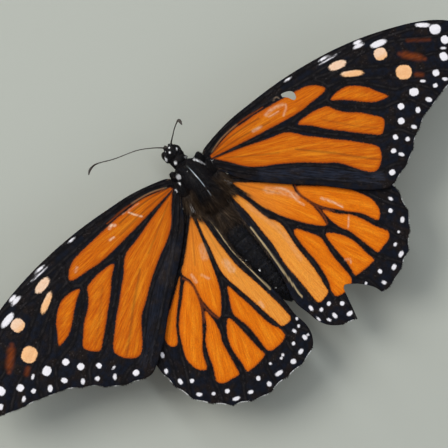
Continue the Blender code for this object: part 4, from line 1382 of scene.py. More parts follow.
@dataclass
class Trunk:
    """Head, prothorax, thorax and abdomen under one skin, with the coat over it.

    Attributes:
        spine: rows of x, y, z, half width and half height from face to tail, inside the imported
            solids by the coat's depth.
        head_yaw: the head's turn about head_pivot, in degrees, and head_shift: its move aside.
        eye_at, eye_radii: the left eye before that turn.
        eye_rim, palp, foreleg: paths with a radius, on the left side.
        sides, squareness, bulge: corners and shape of a ring, and the roundness of both ends.
        voxel: the grain at which the swellings are joined into one skin.
        suture_at: Y of the groove across the thorax's back.
        segments: of the abdomen, between abdomen_from and abdomen_to, with a groove at each joint.
        skin, quads, skin_normals: the joined skin, kept for the coat.
    """

    space: BodySpace
    spine: Rows = (
        (0, -6.12, -2.1, 0.35, 0.5), (0, -5.95, -2.05, 0.8, 0.92), (0, -5.6, -2, 1.3, 1.28),
        (0, -5, -2, 1.5, 1.44), (0, -4.3, -2.05, 1.45, 1.34), (0, -3.95, -2.1, 1.36, 1.16),
        (0, -3.65, -2.1, 1.28, 1.12), (0, -3.3, -2.1, 1.26, 1.28), (0, -2.85, -2, 1.38, 1.42),
        (0, -2.45, -1.95, 1.2, 1.3), (0, -1.7, -1.4, 1.8, 2), (0, -0.4, -1, 2.38, 2.86),
        (0, 1.6, -0.7, 2.62, 3.38), (0, 3.6, -0.8, 2.52, 3.24), (0, 5.4, -1.1, 2.26, 2.74),
        (0, 6.8, -1.5, 1.78, 2.05), (0, 7.7, -1.7, 1.25, 1.42), (0, 8.2, -1.78, 1.2, 1.3),
        (0.05, 9.2, -2, 1.85, 1.75), (0.1, 11.5, -2.4, 2.25, 2.1), (0.1, 14.5, -2.7, 2.32, 2.2),
        (-0.05, 18, -2.95, 2.24, 2.16), (-0.2, 21.5, -3.2, 2.12, 1.97), (-0.6, 25, -3.5, 1.95, 1.67),
        (-0.75, 27.2, -3.7, 1.4, 1.2), (-0.65, 28.2, -3.8, 0.6, 0.55))
    head_yaw: float = 7.0
    head_pivot: Pair = (0.0, -4.0)
    head_shift: float = 0.36
    eye_at: Place = (1.22, -4.88, -2.2)
    eye_radii: Place = (0.64, 0.9, 1.06)
    eye_rim: Rows = ((0.95, -5.6, -1.55, 0.1), (1.2, -5.25, -1.22, 0.13), (1.36, -4.75, -1.12, 0.16),
                     (1.5, -4.25, -1.35, 0.18), (1.5, -3.95, -2, 0.18), (1.3, -3.95, -2.8, 0.14))
    palp: Rows = ((0.45, -5.7, -3.35, 0.22), (0.48, -6.12, -3.15, 0.26), (0.48, -6.3, -2.75, 0.22),
                  (0.45, -6.3, -2.35, 0.1))
    foreleg: Rows = ((1, -1.5, -3.7, 0.24), (1.12, -2.7, -4.1, 0.19), (1.15, -3.6, -4.3, 0.17),
                     (1.12, -4, -4.85, 0.16), (1, -3.6, -5.4, 0.15), (0.95, -2.5, -5.6, 0.12))
    sides: int = 56
    squareness: float = 0.92
    bulge: float = 0.12
    voxel: float = 0.092
    suture_at: float = 3.75
    segments: int = 8
    groove_depth: float = 0.045
    groove_width: float = 0.13
    abdomen_from: float = 8.1
    abdomen_to: float = 29.0
    skin: Array = field(init=False)
    quads: Array = field(init=False)
    skin_normals: Array = field(init=False)

    def yawed(self, points: Array) -> Array:
        """Points of the head turned with it a little to the butterfly's right."""
        angle = math.radians(self.head_yaw)
        moved = np.array(points, float)
        dx, dy = moved[:, 0] - self.head_pivot[0], moved[:, 1] - self.head_pivot[1]
        shift = self.head_shift * ease(-moved[:, 1], -0.6 - self.head_pivot[1], 0.1 - self.head_pivot[1])
        moved[:, 0] = self.head_pivot[0] + dx * math.cos(angle) + dy * math.sin(angle) + shift
        moved[:, 1] = self.head_pivot[1] - dx * math.sin(angle) + dy * math.cos(angle)
        return moved

    def trunk_shape(self) -> Shape:
        """Upright rings along the spine, squared a little, with a groove at each abdominal joint."""
        rings = smooth_path(self.spine, 7)
        ahead = rings[:, 1] < self.head_pivot[1]
        rings[ahead] = self.yawed(rings[ahead])
        share = (rings[:, 1] - self.abdomen_from) / (self.abdomen_to - self.abdomen_from) * self.segments
        notch = np.exp(-(((share % 1.0) - 0.5) / self.groove_width) ** 2)
        groove = np.where(share > 0.3, self.groove_depth * notch, 0.0)
        rings[:, 3:] *= (1.0 - groove)[:, None]
        angle = 2 * math.pi * np.arange(self.sides) / self.sides
        round_x, round_z = (np.sign(wave) * np.abs(wave) ** self.squareness
                            for wave in (np.cos(angle), np.sin(angle)))
        places = np.stack([rings[:, :1] + rings[:, 3:4] * round_x,
                           np.repeat(rings[:, 1:2], self.sides, axis=1),
                           rings[:, 2:3] + rings[:, 4:5] * round_z], axis=-1)
        ends = rings[[0, -1], :3] + np.array([[0, -self.bulge, 0], [0, self.bulge, 0]])
        return closed_rings(places, ends, turned=True)

    def swellings(self) -> list[Shape]:
        """Closed shapes that are joined with the trunk: hinges, tegulae, coxae, palps, forelegs, face."""
        shapes = [ellipsoid((0.0, 5.4, 0.95), (1.2, 0.9, 0.55)),
                  ellipsoid((0.0, 7.9, -1.9), (1.75, 2.0, 1.6))]
        for side in Side:
            mirror = np.array([side.value, 1.0, 1.0])
            shapes += [ellipsoid(mirror * row[:3], row[3:]) for row in BODY_LUMPS]
            shapes.append(self.mirrored_tube(self.foreleg, side, 4, 16, (1, 0, 0)))
            head = [ellipsoid(mirror * row[:3], row[3:], *grain) for row, grain in HEAD_LUMPS]
            head += [self.mirrored_tube(self.eye_rim, side, 5, 12, (0, 0, 1)),
                     self.mirrored_tube(self.palp, side, 4, 16, (1, 0, 0))]
            shapes += [(self.yawed(verts), faces) for verts, faces in head]
        verts, faces = ellipsoid((0.0, -5.8, -2.75), (0.6, 0.36, 0.66), 24, 16)
        return [*shapes, (self.yawed(verts), faces)]

    @staticmethod
    def mirrored_tube(rows: Rows, side: Side, steps: int, corners: int, across: Sequence[float]) -> Shape:
        """A tube along the smooth path through rows given for the left side."""
        return tube(smooth_path([(side.value * x, *rest) for x, *rest in rows], steps), corners, across)

    def joined(self) -> tuple[Array, Array]:
        """One closed skin round the trunk and its swellings, by remeshing them together."""
        mesh = bpy.data.meshes.new("skin_cage")
        verts, faces, start = [], [], 0
        for points, parts in [self.trunk_shape(), *self.swellings()]:
            verts.append(points)
            faces += [tuple(row) for rows in parts for row in (rows + start).tolist()]
            start += len(points)
        mesh.from_pydata(np.vstack(verts).tolist(), [], faces)
        cage = link("skin_cage", mesh)
        remesh = cage.modifiers.new("join", "REMESH")
        remesh.mode, remesh.voxel_size, remesh.adaptivity = "VOXEL", self.voxel, 0.0
        made = cage.evaluated_get(bpy.context.evaluated_depsgraph_get()).to_mesh()
        points = np.empty(len(made.vertices) * 3, np.float32)
        made.vertices.foreach_get("co", points)
        corners = np.empty(len(made.loops), np.int32)
        made.loops.foreach_get("vertex_index", corners)
        bpy.data.objects.remove(cage)
        bpy.data.meshes.remove(mesh)
        return points.reshape(-1, 3).astype(float), corners.reshape(-1, 4).astype(int)

    @staticmethod
    def relaxed(verts: Array, quads: Array, rounds: int) -> Array:
        """Vertices drawn towards the mean of their neighbours and part way back, which smooths steps."""
        ends = edge_ends(quads)
        degree = np.maximum(np.bincount(ends[:, 0], minlength=len(verts)), 1)[:, None]
        for pull in SMOOTHING * rounds:
            total = gathered(ends[:, 0], verts[ends[:, 1]], len(verts))
            verts = verts + pull * (total / degree - verts)
        return verts

    def sculpted(self, verts: Array) -> Array:
        """Presses in the thorax's sutures and raises the bare keel along its back."""
        verts = verts.copy()
        x, y, z = verts.T
        upper = ease(z, 0.4, 1.6)
        on_back = upper * ease(y, -1.8, -0.8) * fall(y, 5.2, 6.2)
        keel = 0.18 * np.exp(-(x / 0.3) ** 2) - 0.1 * np.exp(-((np.abs(x) - 0.7) / 0.3) ** 2)
        suture = -0.12 * np.exp(-((y - self.suture_at - 0.12 * x ** 2) / 0.16) ** 2)
        verts[:, 2] += on_back * (keel + suture)
        return verts

    def brown(self, points: Array) -> Array:
        """The brown of the long hair: the thorax's sides and rear and the front of the abdomen."""
        x, y = points[:, :2].T
        rear = ease(y, 3.2, 6.0) * fall(y, 10.0, 13.0)
        flank = ease(np.abs(x), 1.3, 2.4) * ease(y - 0.6 * (x < 0), 1.2, 3.2) * fall(y, 9.0, 13.0)
        patchy = 0.5 + 0.5 * np.sin(3.1 * x + 0.7 * y) * np.sin(1.9 * y - 1.1 * x)
        return np.clip(np.maximum(0.5 * rear, 0.7 * flank) * (0.45 + 0.55 * patchy), 0.0, 1.0)

    def gloss(self, points: Array) -> Array:
        """The bare keel along the thorax's back; where it is glossiest the skin's colour also carries a
        painted highlight.
        """
        x, y, z = points.T
        keel = fall(np.abs(x), 0.0, 0.3) * ease(z, 0.2, 0.8) * (0.7 + 0.3 * ease(y, -1.4, 0.2))
        ends = ease(y, -1.9, -1.5) * fall(y, 5.2, 5.7)
        return keel * ends * (1.0 - 0.9 * np.exp(-((y - self.suture_at) / 0.25) ** 2))

    @staticmethod
    def normals(verts: Array, quads: Array) -> Array:
        """Vertex normals as the sum of the faces' normals round each vertex."""
        face = np.cross(verts[quads[:, 2]] - verts[quads[:, 0]], verts[quads[:, 3]] - verts[quads[:, 1]])
        return unit(gathered(quads.ravel(), np.repeat(face, 4, axis=0), len(verts)))

    def unwrap(self, points: Array) -> Array:
        """Places on an unwrap of the skin: share of the length, and angle about the spine."""
        spine = np.array(self.spine)
        x, z = (np.interp(points[:, 1], spine[:, 1], spine[:, k]) for k in (0, 2))
        turn = np.arctan2(points[:, 0] - x, points[:, 2] - z) / (2 * math.pi) + 0.5
        share = (points[:, 1] - spine[0, 1] + 1.0) / (spine[-1, 1] - spine[0, 1] + 2.0)
        return framed(np.stack([np.clip(share, 0, 1), turn], axis=1))

    def build_skin(self, material: Material) -> None:
        """Builds the skin and keeps it for the coat to grow from."""
        verts, quads = self.joined()
        verts = self.sculpted(self.relaxed(verts, quads, 4))
        self.skin, self.quads = verts, quads
        self.skin_normals = self.normals(verts, quads)
        marks = (*HEAD_MARKS, *COLLAR_MARKS, *THORAX_MARKS, *ABDOMEN_MARKS, *ROOT_MARKS)
        draft = Draft()
        draft.add(verts, [quads], white=whiteness(verts, marks), brown=self.brown(verts),
                  gloss=self.gloss(verts), tint=np.full(len(verts), 0.35))
        sides = [side.label for side in Side]
        nodes = ["head", "prothorax", "thorax", "abdomen"]
        nodes += [f"{part}_{side}" for part in ("palp", "tegula", "foreleg") for side in sides]
        draft.build("body_skin", self.space, material, "body_scales", nodes)

    def build_eyes(self, material: Material) -> None:
        """The compound eyes, egg-shaped and set into the head."""
        for side in Side:
            centre = (side.value * self.eye_at[0], *self.eye_at[1:])
            verts, faces = ellipsoid(centre, self.eye_radii, 56, 40)
            draft = Draft()
            draft.add(self.yawed(verts), faces)
            draft.build(f"compound_eye_{side.label}", self.space, material, "eye_facets",
                        [f"eye_{side.label}"])

    def roots(self, count: int, where: At, rng: np.random.Generator) -> tuple[Array, Array]:
        """Random places on the skin.

        Args:
            count: how many to try for.
            where: density from zero to one at each point.
            rng: the source of chance.

        Returns:
            Places and normals.
        """
        corners = self.skin[self.quads]
        area = np.linalg.norm(np.cross(corners[:, 2] - corners[:, 0], corners[:, 3] - corners[:, 1]), axis=1)
        weight = area * where(corners.mean(axis=1))
        chosen = rng.choice(len(weight), count, p=weight / weight.sum())
        a, b = rng.uniform(size=(2, count, 1))
        blend = [(1 - a) * (1 - b), a * (1 - b), a * b, (1 - a) * b]
        place = sum(share * self.skin[self.quads[chosen, k]] for k, share in enumerate(blend))
        normal = unit(sum(share * self.skin_normals[self.quads[chosen, k]] for k, share in enumerate(blend)))
        clear = ~self.in_eye(place, SOCKET)
        return place[clear], normal[clear]

    def in_eye(self, points: Array, scale: float) -> Array:
        """Which points lie inside either eye, scaled about its centre."""
        held = np.zeros(len(points), bool)
        for side in Side:
            centre = self.yawed(np.array([(side.value * self.eye_at[0], *self.eye_at[1:])]))[0]
            held |= (((points - centre) / self.eye_radii) ** 2).sum(axis=1) < scale ** 2
        return held

    def coat(self, name: str, blade: Blade, count: int, where: At, lie: At, length: At, width: float,
             marks: Sequence[Mark], material: Material, seed: int, warm: float = 1.0,
             mottle: float = 0.16) -> None:
        """Grows one piece of coat.

        Args:
            name: the piece's name.
            blade: the shape of a tuft.
            count: how many tufts.
            where: density at a point.
            lie: direction of the coat at a point.
            length: its length at a point.
            width: half width of a tuft.
            marks: white spots in it.
            material: its finish.
            seed: start of its chance numbers.
            warm: share of the brown that it shows.
            mottle: how far its tufts differ in brown.
        """
        rng = np.random.default_rng(seed)
        roots, normals = self.roots(count, where, rng)
        white = whiteness(roots, marks) + rng.normal(0.0, 0.04, len(roots))
        shown = ease(white, *SPOT_EDGE)
        long = length(roots) * rng.uniform(0.75, 1.2, len(roots)) * (1.0 - 0.35 * shown)
        brown = np.clip(warm * self.brown(roots) + rng.normal(0.0, mottle, len(roots)), 0.0, 1.0)
        draft = Draft()
        blade.grow(draft, roots, normals, lie(roots), long,
                   width * rng.uniform(0.7, 1.2, len(roots)) * (1.0 + 0.4 * shown), self.unwrap(roots), rng,
                   tint=rng.uniform(size=len(roots)), brown=brown * (1.0 - shown), white=shown)
        draft.build(name, self.space, material, "body_scales")

    def build_coat(self, material: Material) -> None:
        """The hair of head, collar and thorax, the flat scales of the abdomen and the long rear hair."""

        def band(points: Array, start: float, end: float, soft: float = 0.25) -> Array:
            """One between two Ys, with soft ends."""
            return ease(points[:, 1], start - soft, start + soft) * fall(points[:, 1], end - soft, end + soft)

        def backwards(points: Array) -> Array:
            """Towards the tail and down the flanks."""
            return np.stack([0.32 * np.tanh(points[:, 0] * 1.5), np.ones(len(points)),
                             -0.35 * np.abs(np.tanh(points[:, 0] * 0.5))], axis=1)

        def from_crown(points: Array) -> Array:
            """Away from the crown of the head, and a little back."""
            crown = np.array([0.15, -4.9, -0.4])
            return unit(points - crown) + np.array([0.0, 0.35, 0.05])

        def straight_back(points: Array) -> Array:
            """Towards the tail everywhere."""
            return np.tile([0.0, 1.0, -0.05], (len(points), 1))

        def limb(points: Array) -> Array:
            """One on the folded forelegs."""
            return ease(-points[:, 2], 3.5, 3.9) * fall(points[:, 1], -1.6, -0.9)

        def on_back(points: Array) -> Array:
            """One on the back beside the bare keel."""
            bare = fall(self.gloss(points), 0.1, 0.45)
            return band(points, -2.4, 7.9) * ease(points[:, 2], -0.4, 0.2) * bare

        def at_rear(points: Array) -> Array:
            """Dense on both sides of the rear, thin in the middle."""
            over = band(points, 3.4, 11.0, 1.3) * ease(points[:, 2], -3.2, -1.2)
            return over * (1 - self.gloss(points)) * (0.35 + 0.65 * ease(np.abs(points[:, 0]), 0.3, 1.4))

        short = (1.0, 0.7)
        stiff = Blade(profile=short, lift=0.34)
        thorax_marks = THORAX_MARKS + ROOT_MARKS
        self.coat("coat_head", stiff, 9500, lambda p: band(p, -7.2, -3.9), from_crown,
                  lambda p: 0.25 - 0.06 * ease(-p[:, 1], 5.9, 6.3), 0.03, HEAD_MARKS, material, 11)
        self.coat("coat_collar", stiff, 7500, lambda p: band(p, -4.1, -2.2), backwards,
                  lambda p: 0.42 - 0.2 * limb(p), 0.034, COLLAR_MARKS, material, 12)
        self.coat("coat_thorax_back", Blade(profile=short, lift=0.2, settle=0.1), 18500, on_back, backwards,
                  lambda p: 0.36 + 0.3 * ease(np.abs(p[:, 0]), 0.9, 2.2) + 0.4 * ease(p[:, 1], 4.6, 6.8),
                  0.03, thorax_marks, material, 13)
        self.coat("coat_thorax_sides", Blade(profile=short, lift=0.36, settle=0.2), 17000,
                  lambda p: band(p, -2.4, 7.9) * fall(p[:, 2], -0.6, 0.2), backwards,
                  lambda p: (0.7 + 0.35 * ease(p[:, 1], 1.0, 5.0)) * (1 - 0.65 * limb(p)),
                  0.034, thorax_marks, material, 14)
        self.coat("coat_rear_hair", Blade(profile=(0.8, 1.0, 0.7), lift=0.26, settle=0.12), 8000, at_rear,
                  backwards, lambda p: 2.3 - 0.9 * ease(p[:, 1], 8.0, 12.0), 0.024, ROOT_MARKS, material,
                  15, warm=1.5)
        self.coat("coat_abdomen", Blade(profile=(0.8, 1.0), flatness=0.3, lift=0.16, settle=0.1), 18000,
                  lambda p: band(p, 8.2, 29.6), straight_back, lambda p: np.full(len(p), 0.42), 0.07,
                  ABDOMEN_MARKS, material, 16, mottle=0.07)


@dataclass
class WingBaseHair:
    """Long hair over the wing roots, dense at the hinge and thinning out along the wing.

    Attributes:
        count: tufts tried on each wing.
        reach: how far along U it grows on a forewing and a hindwing.
        spread: how slowly it thins out along U, and long: how long it is, on the same two.
    """

    count: int = 2600
    reach: Pair = (2.4, 5.5)
    spread: Pair = (0.7, 1.5)
    long: Pair = (0.75, 1.3)

    def build(self, wings: Sequence[Wing], space: BodySpace, material: Material) -> None:
        """Grows the hair of all four wings as one piece."""
        draft = Draft()
        rng = np.random.default_rng(31)
        low, high = HAIR_SPAN
        for index, wing in enumerate(wings):
            fore = wing.plan.kind == "forewing"
            reach, spread, long = (part[0 if fore else 1] for part in (self.reach, self.spread, self.long))
            u = rng.exponential(spread, self.count) - 1.2
            v = rng.uniform(-3.6, 1.6, self.count)
            flat = np.stack([u, v], axis=1)
            rim, hem, _ = wing.outline()
            window = depth_inside(flat, [smooth_loop(rows, 3) for rows in wing.plan.cells])
            kept = inside(flat, np.vstack([rim, hem])) & (u < reach)
            kept &= rng.uniform(size=self.count) < ease(-window, -0.3, 0.25) + 0.8 * (u < -0.2)
            flat = flat[kept]
            slope = np.full(len(flat), -0.12)
            if not fore:
                edge = hem[(hem[:, 0] > 0.5) & (hem[:, 0] < 13.0)]
                along = rng.uniform(0.0, len(edge) - 1.001, self.count // 3)
                seam = sample(edge, along, np.arange(len(edge)))
                seam[:, 1] += rng.uniform(0.05, 0.4, len(along))
                flat = np.vstack([flat, seam])
                slope = np.append(slope, rng.uniform(-1.6, -0.6, len(along)))
            roots, ahead = wing.raise_up(flat, 0.05), flat + np.stack([np.ones(len(flat)), slope], axis=1)
            lie = unit(wing.raise_up(ahead) - wing.raise_up(flat))
            total = len(roots)
            fade = 1.0 - 0.4 * ease(flat[:, 0], 0.0, 2.0 * reach)
            share = (flat - low) / (high - low)
            unwrap = (np.array([index % 2, index // 2]) + 0.04 + 0.92 * share) / 2
            white = (whiteness(roots, ROOT_MARKS) > rng.uniform(0.35, 0.75, total)).astype(float)
            Blade(profile=(0.8, 1.0, 0.6), lift=0.16, settle=0.12).grow(
                draft, roots, np.tile(UP, (total, 1)), lie, rng.uniform(0.6, 1.1, total) * fade * long,
                rng.uniform(0.018, 0.03, total), unwrap, rng, tint=rng.uniform(size=total),
                brown=rng.uniform(0.0, 0.8, total), white=white)
        draft.build("coat_wing_bases", space, material, "wing_scales")


@dataclass
class Limbs:
    """Walking legs, feelers and tongue.

    Attributes:
        legs: per pair, the coxa, knee, ankle and toe of the left leg.
        radii: of femur, tibia and foot at their thickest.
        leg_rings: on each of a leg's four stretches, and bristles: tried on each leg.
        landing: share of the foot after which it lies on the floor, and notch: depth of a joint.
        antennae: paths with a radius; feeler_rings, feeler_sides: their small rings and corners.
        coil_centre, coil_radii, coil_turns: the tongue's spiral, with its inner and outer radius.
        coil_ribs: fine ribs along it.
    """

    space: BodySpace
    legs: dict[str, Rows] = field(default_factory=lambda: {
        "midleg": ((1.5, 1.4, -4.75), (6.4, -0.4, -4.3), (10, -1.4, -9.3), (13.6, -2.6, -9.8)),
        "hindleg": ((1.5, 4.4, -4.7), (5.2, 8.6, -4.5), (7.8, 12.8, -9.3), (9.2, 16.8, -9.8))})
    radii: Place = (0.4, 0.27, 0.2)
    leg_rings: int = 26
    landing: float = 0.35
    notch: float = 0.28
    bristles: int = 700
    feeler_rings: int = 42
    feeler_sides: int = 14
    antennae: dict[Side, Rows] = field(default_factory=lambda: {
        Side.LEFT: ((0.6, -6.05, -1.1, 0.2), (0.75, -6.2, -0.95, 0.14), (2.6, -7.5, 0, 0.09),
                    (5.2, -8.8, 1.1, 0.08), (9.2, -9.9, 3, 0.08), (12, -10.9, 5, 0.1),
                    (13.1, -11.05, 5.8, 0.16), (14.1, -10.8, 6.4, 0.2), (14.75, -10.3, 6.65, 0.1)),
        Side.RIGHT: ((-0.56, -6.02, -1.15, 0.2), (-0.62, -6.2, -0.9, 0.16), (-0.85, -6.55, 1.3, 0.11),
                     (-1.2, -7, 3.9, 0.1), (-1.65, -7.55, 7.3, 0.1), (-2, -7.85, 10.4, 0.12),
                     (-2.2, -7.9, 12.2, 0.2), (-2.15, -7.55, 13.3, 0.25), (-1.98, -6.95, 13.8, 0.12))})
    coil_centre: Place = (0.0, -5.5, -5.15)
    coil_radii: Pair = (0.4, 1.45)
    coil_turns: float = 2.25
    coil_ribs: int = 70

    def leg_path(self, joints: Array) -> Array:
        """Centre line and radius of a leg: thick femur, slim tibia and a jointed foot along the floor.

        The radius is that of the stretch times a swelling, less a notch at each joint.
        """
        coxa, knee, ankle, toe = joints
        landing = ankle + self.landing * (toe - ankle)
        landing[2] = toe[2]
        stretches, radii = [], []
        femur, tibia, foot = self.radii
        for start, end, radius, joints_in in ((coxa, knee, femur, 1), (knee, ankle, tibia, 1),
                                              (ankle, landing, foot, 2), (landing, toe, foot, 3)):
            t = np.linspace(0.0, 1.0, self.leg_rings, endpoint=False)
            stretches.append(start + (end - start) * t[:, None])
            wave = np.abs(np.sin(math.pi * joints_in * t)) ** 0.4
            radii.append(radius * (1.0 - self.notch + self.notch * wave) * (1.08 - 0.16 * t))
        path = np.vstack([*stretches, toe])
        path[1:-1] = (path[:-2] + 2 * path[1:-1] + path[2:]) / 4
        return np.column_stack([path, np.append(np.concatenate(radii), foot * 0.6)])

    def claws(self, toe: Array, heading: Array) -> list[Shape]:
        """Two small hooks at the end of a foot."""
        made = []
        side = unit(np.cross(heading, UP))
        hook = ((-0.05, 0.04, 0.0), (0.22, 0.14, 0.06), (0.42, 0.2, -0.02), (0.5, 0.2, -0.13))
        for way in (-1.0, 1.0):
            rows = [toe + heading * a + side * way * b + np.array([0.0, 0.0, c]) for a, b, c in hook]
            path = np.column_stack([smooth_path(rows, 4), np.linspace(0.075, 0.02, 13)])
            made.append(tube(path, 8, side))
        return made

    def build_legs(self, material: Material, bristle_material: Material) -> None:
        """Each walking leg as one piece, and the short bristles of them all as another."""
        bristles = Draft()
        rng = np.random.default_rng(41)
        number = 0
        for name, rows in self.legs.items():
            for side in Side:
                joints = np.array(rows) * (side.value, 1.0, 1.0)
                path = self.leg_path(joints)
                heading = unit(joints[3] - joints[2]) * (1.0, 1.0, 0.0)
                draft = Draft()
                for verts, faces in [tube(path, 18, (0.2 * side.value, 0.3, 1.0)),
                                     *self.claws(path[-1, :3], unit(heading))]:
                    draft.add(verts, faces, thin=0.5 * ease(-verts[:, 2], 7.5, 9.6))
                label = f"{name}_{side.label}"
                draft.build(label, self.space, material, "dark_cuticle",
                            [f"{label}_{part}" for part in ("femur", "tibia", "tarsus")])
                self.bristle(bristles, path, number, rng)
                number += 1
        bristles.build("leg_bristles", self.space, bristle_material, "dark_cuticle")

    def bristle(self, draft: Draft, path: Array, number: int, rng: np.random.Generator) -> None:
        """Short spines that lean towards the foot, denser on the tibia and tarsus."""
        at = rng.uniform(0.03, 0.99, self.bristles) ** 0.85 * (len(path) - 2)
        low = at.astype(int)
        row = path[low] + (path[low + 1] - path[low]) * (at - low)[:, None]
        along = unit(path[low + 1, :3] - path[low, :3])
        spread = rng.normal(size=(self.bristles, 3))
        outward = unit(spread - along * (spread * along).sum(axis=1, keepdims=True))
        roots = row[:, :3] + outward * row[:, 3:] * 0.97
        clear = roots[:, 2] > -HINGE_HEIGHT + 0.3
        turn = np.arctan2(outward[:, 0], outward[:, 2]) / (2 * math.pi) + 0.5
        unwrap = framed(np.stack([at / len(path), (number + 0.05 + 0.9 * turn) / 4], axis=1))
        roots, outward, along, radius, unwrap = (values[clear] for values in
                                                 (roots, outward, along, row[:, 3], unwrap))
        total = len(roots)
        Blade(profile=(1.0, 0.7), lift=0.5, settle=0.05).grow(
            draft, roots, outward, along, 0.16 + 0.5 * radius * rng.uniform(0.6, 1.4, total),
            rng.uniform(0.014, 0.024, total), unwrap, rng, tint=rng.uniform(size=total),
            brown=rng.uniform(0.0, 0.5, total))

    def build_antennae(self, material: Material) -> None:
        """Thread-like feelers of many small rings, each ending in a club."""
        for side, rows in self.antennae.items():
            path = smooth_path(rows, 24)
            share = np.linspace(0.0, 1.0, len(path))
            wave = np.sin(2 * math.pi * self.feeler_rings * share)
            path[:, 3] *= 1.0 + 0.09 * wave * (share > 0.04)
            verts, faces = tube(path, self.feeler_sides, (0.3, 1.0, -0.4))
            draft = Draft()
            thin = np.repeat(0.35 + 0.3 * wave, self.feeler_sides)
            draft.add(verts, faces, thin=np.append(thin, [0.2, 0.2]))
            draft.build(f"antenna_{side.label}", self.space, material, "dark_cuticle",
                        [f"antenna_{side.label}_{part}" for part in ("shaft", "club")])

    def build_proboscis(self, material: Material) -> None:
        """The tongue, coiled like a watch spring: radius grows evenly with the turn, with fine ribs."""
        share = np.linspace(0.0, 1.0, 260)
        angle = 2 * math.pi * self.coil_turns * (1.0 - share) + math.pi / 2
        radius = self.coil_radii[0] + (self.coil_radii[1] - self.coil_radii[0]) * share
        x, y, z = self.coil_centre
        ribs = 1.0 + 0.05 * np.sin(2 * math.pi * self.coil_ribs * share)
        spiral = np.stack([np.full_like(share, x), y - radius * np.cos(angle),
                           z + radius * np.sin(angle), (0.09 + 0.13 * share) * ribs], axis=1)
        root = smooth_path([spiral[-1], (0.0, -5.35, -3.55, 0.24), (0.0, -5.5, -3.2, 0.26)], 8)[1:]
        verts, faces = tube(np.vstack([spiral, root]), 16, (1.0, 0.0, 0.0))
        draft = Draft()
        draft.add(verts, faces, thin=np.full(len(verts), 0.45))
        draft.build("proboscis", self.space, material, "dark_cuticle", ["proboscis_inner", "proboscis_outer"])


# ---------------------------------------------------------------- studio

SENSOR = 36.0                # side of the camera's square sensor, in millimetres


@dataclass
class Studio:
    """Pale floor, soft lights and the camera.

    Attributes:
        aim: the point on the body that the camera's axis passes, in body coordinates.
        distance: from it to the camera.
        lean: of the axis from straight down, towards the butterfly's left, in degrees.
        roll: turn of the picture about the axis, in degrees.
        field: height that the picture covers at the aim.
        floor_half: half the floor's side in metres.
    """

    space: BodySpace
    aim: Place = (1.10, 10.44, 0.0)
    distance: float = 400.0
    lean: float = 7.5
    roll: float = 38.63
    field: float = 77.24
    floor_half: float = 1.5
    floor_colour: Colour = (0.42, 0.44, 0.40)

    def axes(self) -> Array:
        """The camera's right, up and backward directions as rows."""
        lean, roll = math.radians(self.lean), math.radians(self.roll)
        across = np.array([-math.cos(lean), 0.0, math.sin(lean)])
        ahead = np.array([0.0, -1.0, 0.0])
        return np.array([math.cos(roll) * across - math.sin(roll) * ahead,
                         math.sin(roll) * across + math.cos(roll) * ahead,
                         [math.sin(lean), 0.0, math.cos(lean)]])

    def build_floor(self) -> None:
        """A wide plain floor."""
        mesh = bpy.data.meshes.new("floor")
        s = self.floor_half
        mesh.from_pydata([(-s, -s, 0), (s, -s, 0), (s, s, 0), (-s, s, 0)], [], [(0, 1, 2, 3)])
        material, graph, shader = start_material("pale_floor")
        graph.fill(shader, Base_Color=self.floor_colour, Roughness=0.85)
        mesh.materials.append(material)
        link("floor", mesh)

    def place_by_axes(self, made: bpy.types.Object, at: Array, axes: Array) -> None:
        """Sets an object's place and its own X, Y and Z directions."""
        matrix = np.eye(4)
        matrix[:3, :3], matrix[:3, 3] = axes.T, at
        made.matrix_world = Matrix(matrix.tolist())

    def build_camera(self) -> None:
        """The camera, far enough away that the wings are barely foreshortened."""
        data = bpy.data.cameras.new("camera")
        data.sensor_width = data.sensor_height = SENSOR
        data.lens = SENSOR * self.distance / self.field
        data.clip_start = 0.01
        camera = link("camera", data)
        axes = self.axes()
        at = self.space.place(np.array(self.aim) + axes[2] * self.distance)
        self.place_by_axes(camera, at, axes)
        bpy.context.scene.camera = camera

    def light(self, name: str, at: Sequence[float], size: Pair, power: float,
              colour: Place) -> None:
        """A soft rectangular light aimed at the butterfly, its long side towards the tail, in metres."""
        data = bpy.data.lights.new(name, "AREA")
        data.shape, data.size, data.size_y = "RECTANGLE", *size
        data.energy, data.color = power, colour
        made = link(name, data)
        backward = unit(np.array(at))
        across = unit(np.cross([0.0, 1.0, 0.0], backward))
        place = self.space.place(np.array(self.aim)) + np.array(at)
        self.place_by_axes(made, place, np.array([across, np.cross(backward, across), backward]))

    def build_lights(self) -> None:
        """A broad key, a weaker fill, a long narrow accent over the back, and a faint even surround."""
        self.light("key", (0.42, -0.62, 0.8), (0.5, 0.5), 8.0, (1.0, 0.97, 0.92))
        self.light("fill", (-0.5, 0.8, 0.7), (0.8, 0.8), 2.6, (0.93, 0.96, 1.0))
        self.light("accent", (-0.11, -0.4, 0.62), (0.1, 1.5), 3.2, (0.95, 0.98, 1.0))
        world = bpy.data.worlds.new("surround")
        bpy.context.scene.world = world
        world.use_nodes = True
        backdrop = world.node_tree.nodes["Background"]
        Graph(world.node_tree).fill(backdrop, Color=(0.86, 0.89, 0.92), Strength=0.26)
        bpy.context.scene.view_settings.view_transform = "Standard"

    def build(self) -> None:
        """Builds the whole set."""
        self.build_floor()
        self.build_camera()
        self.build_lights()


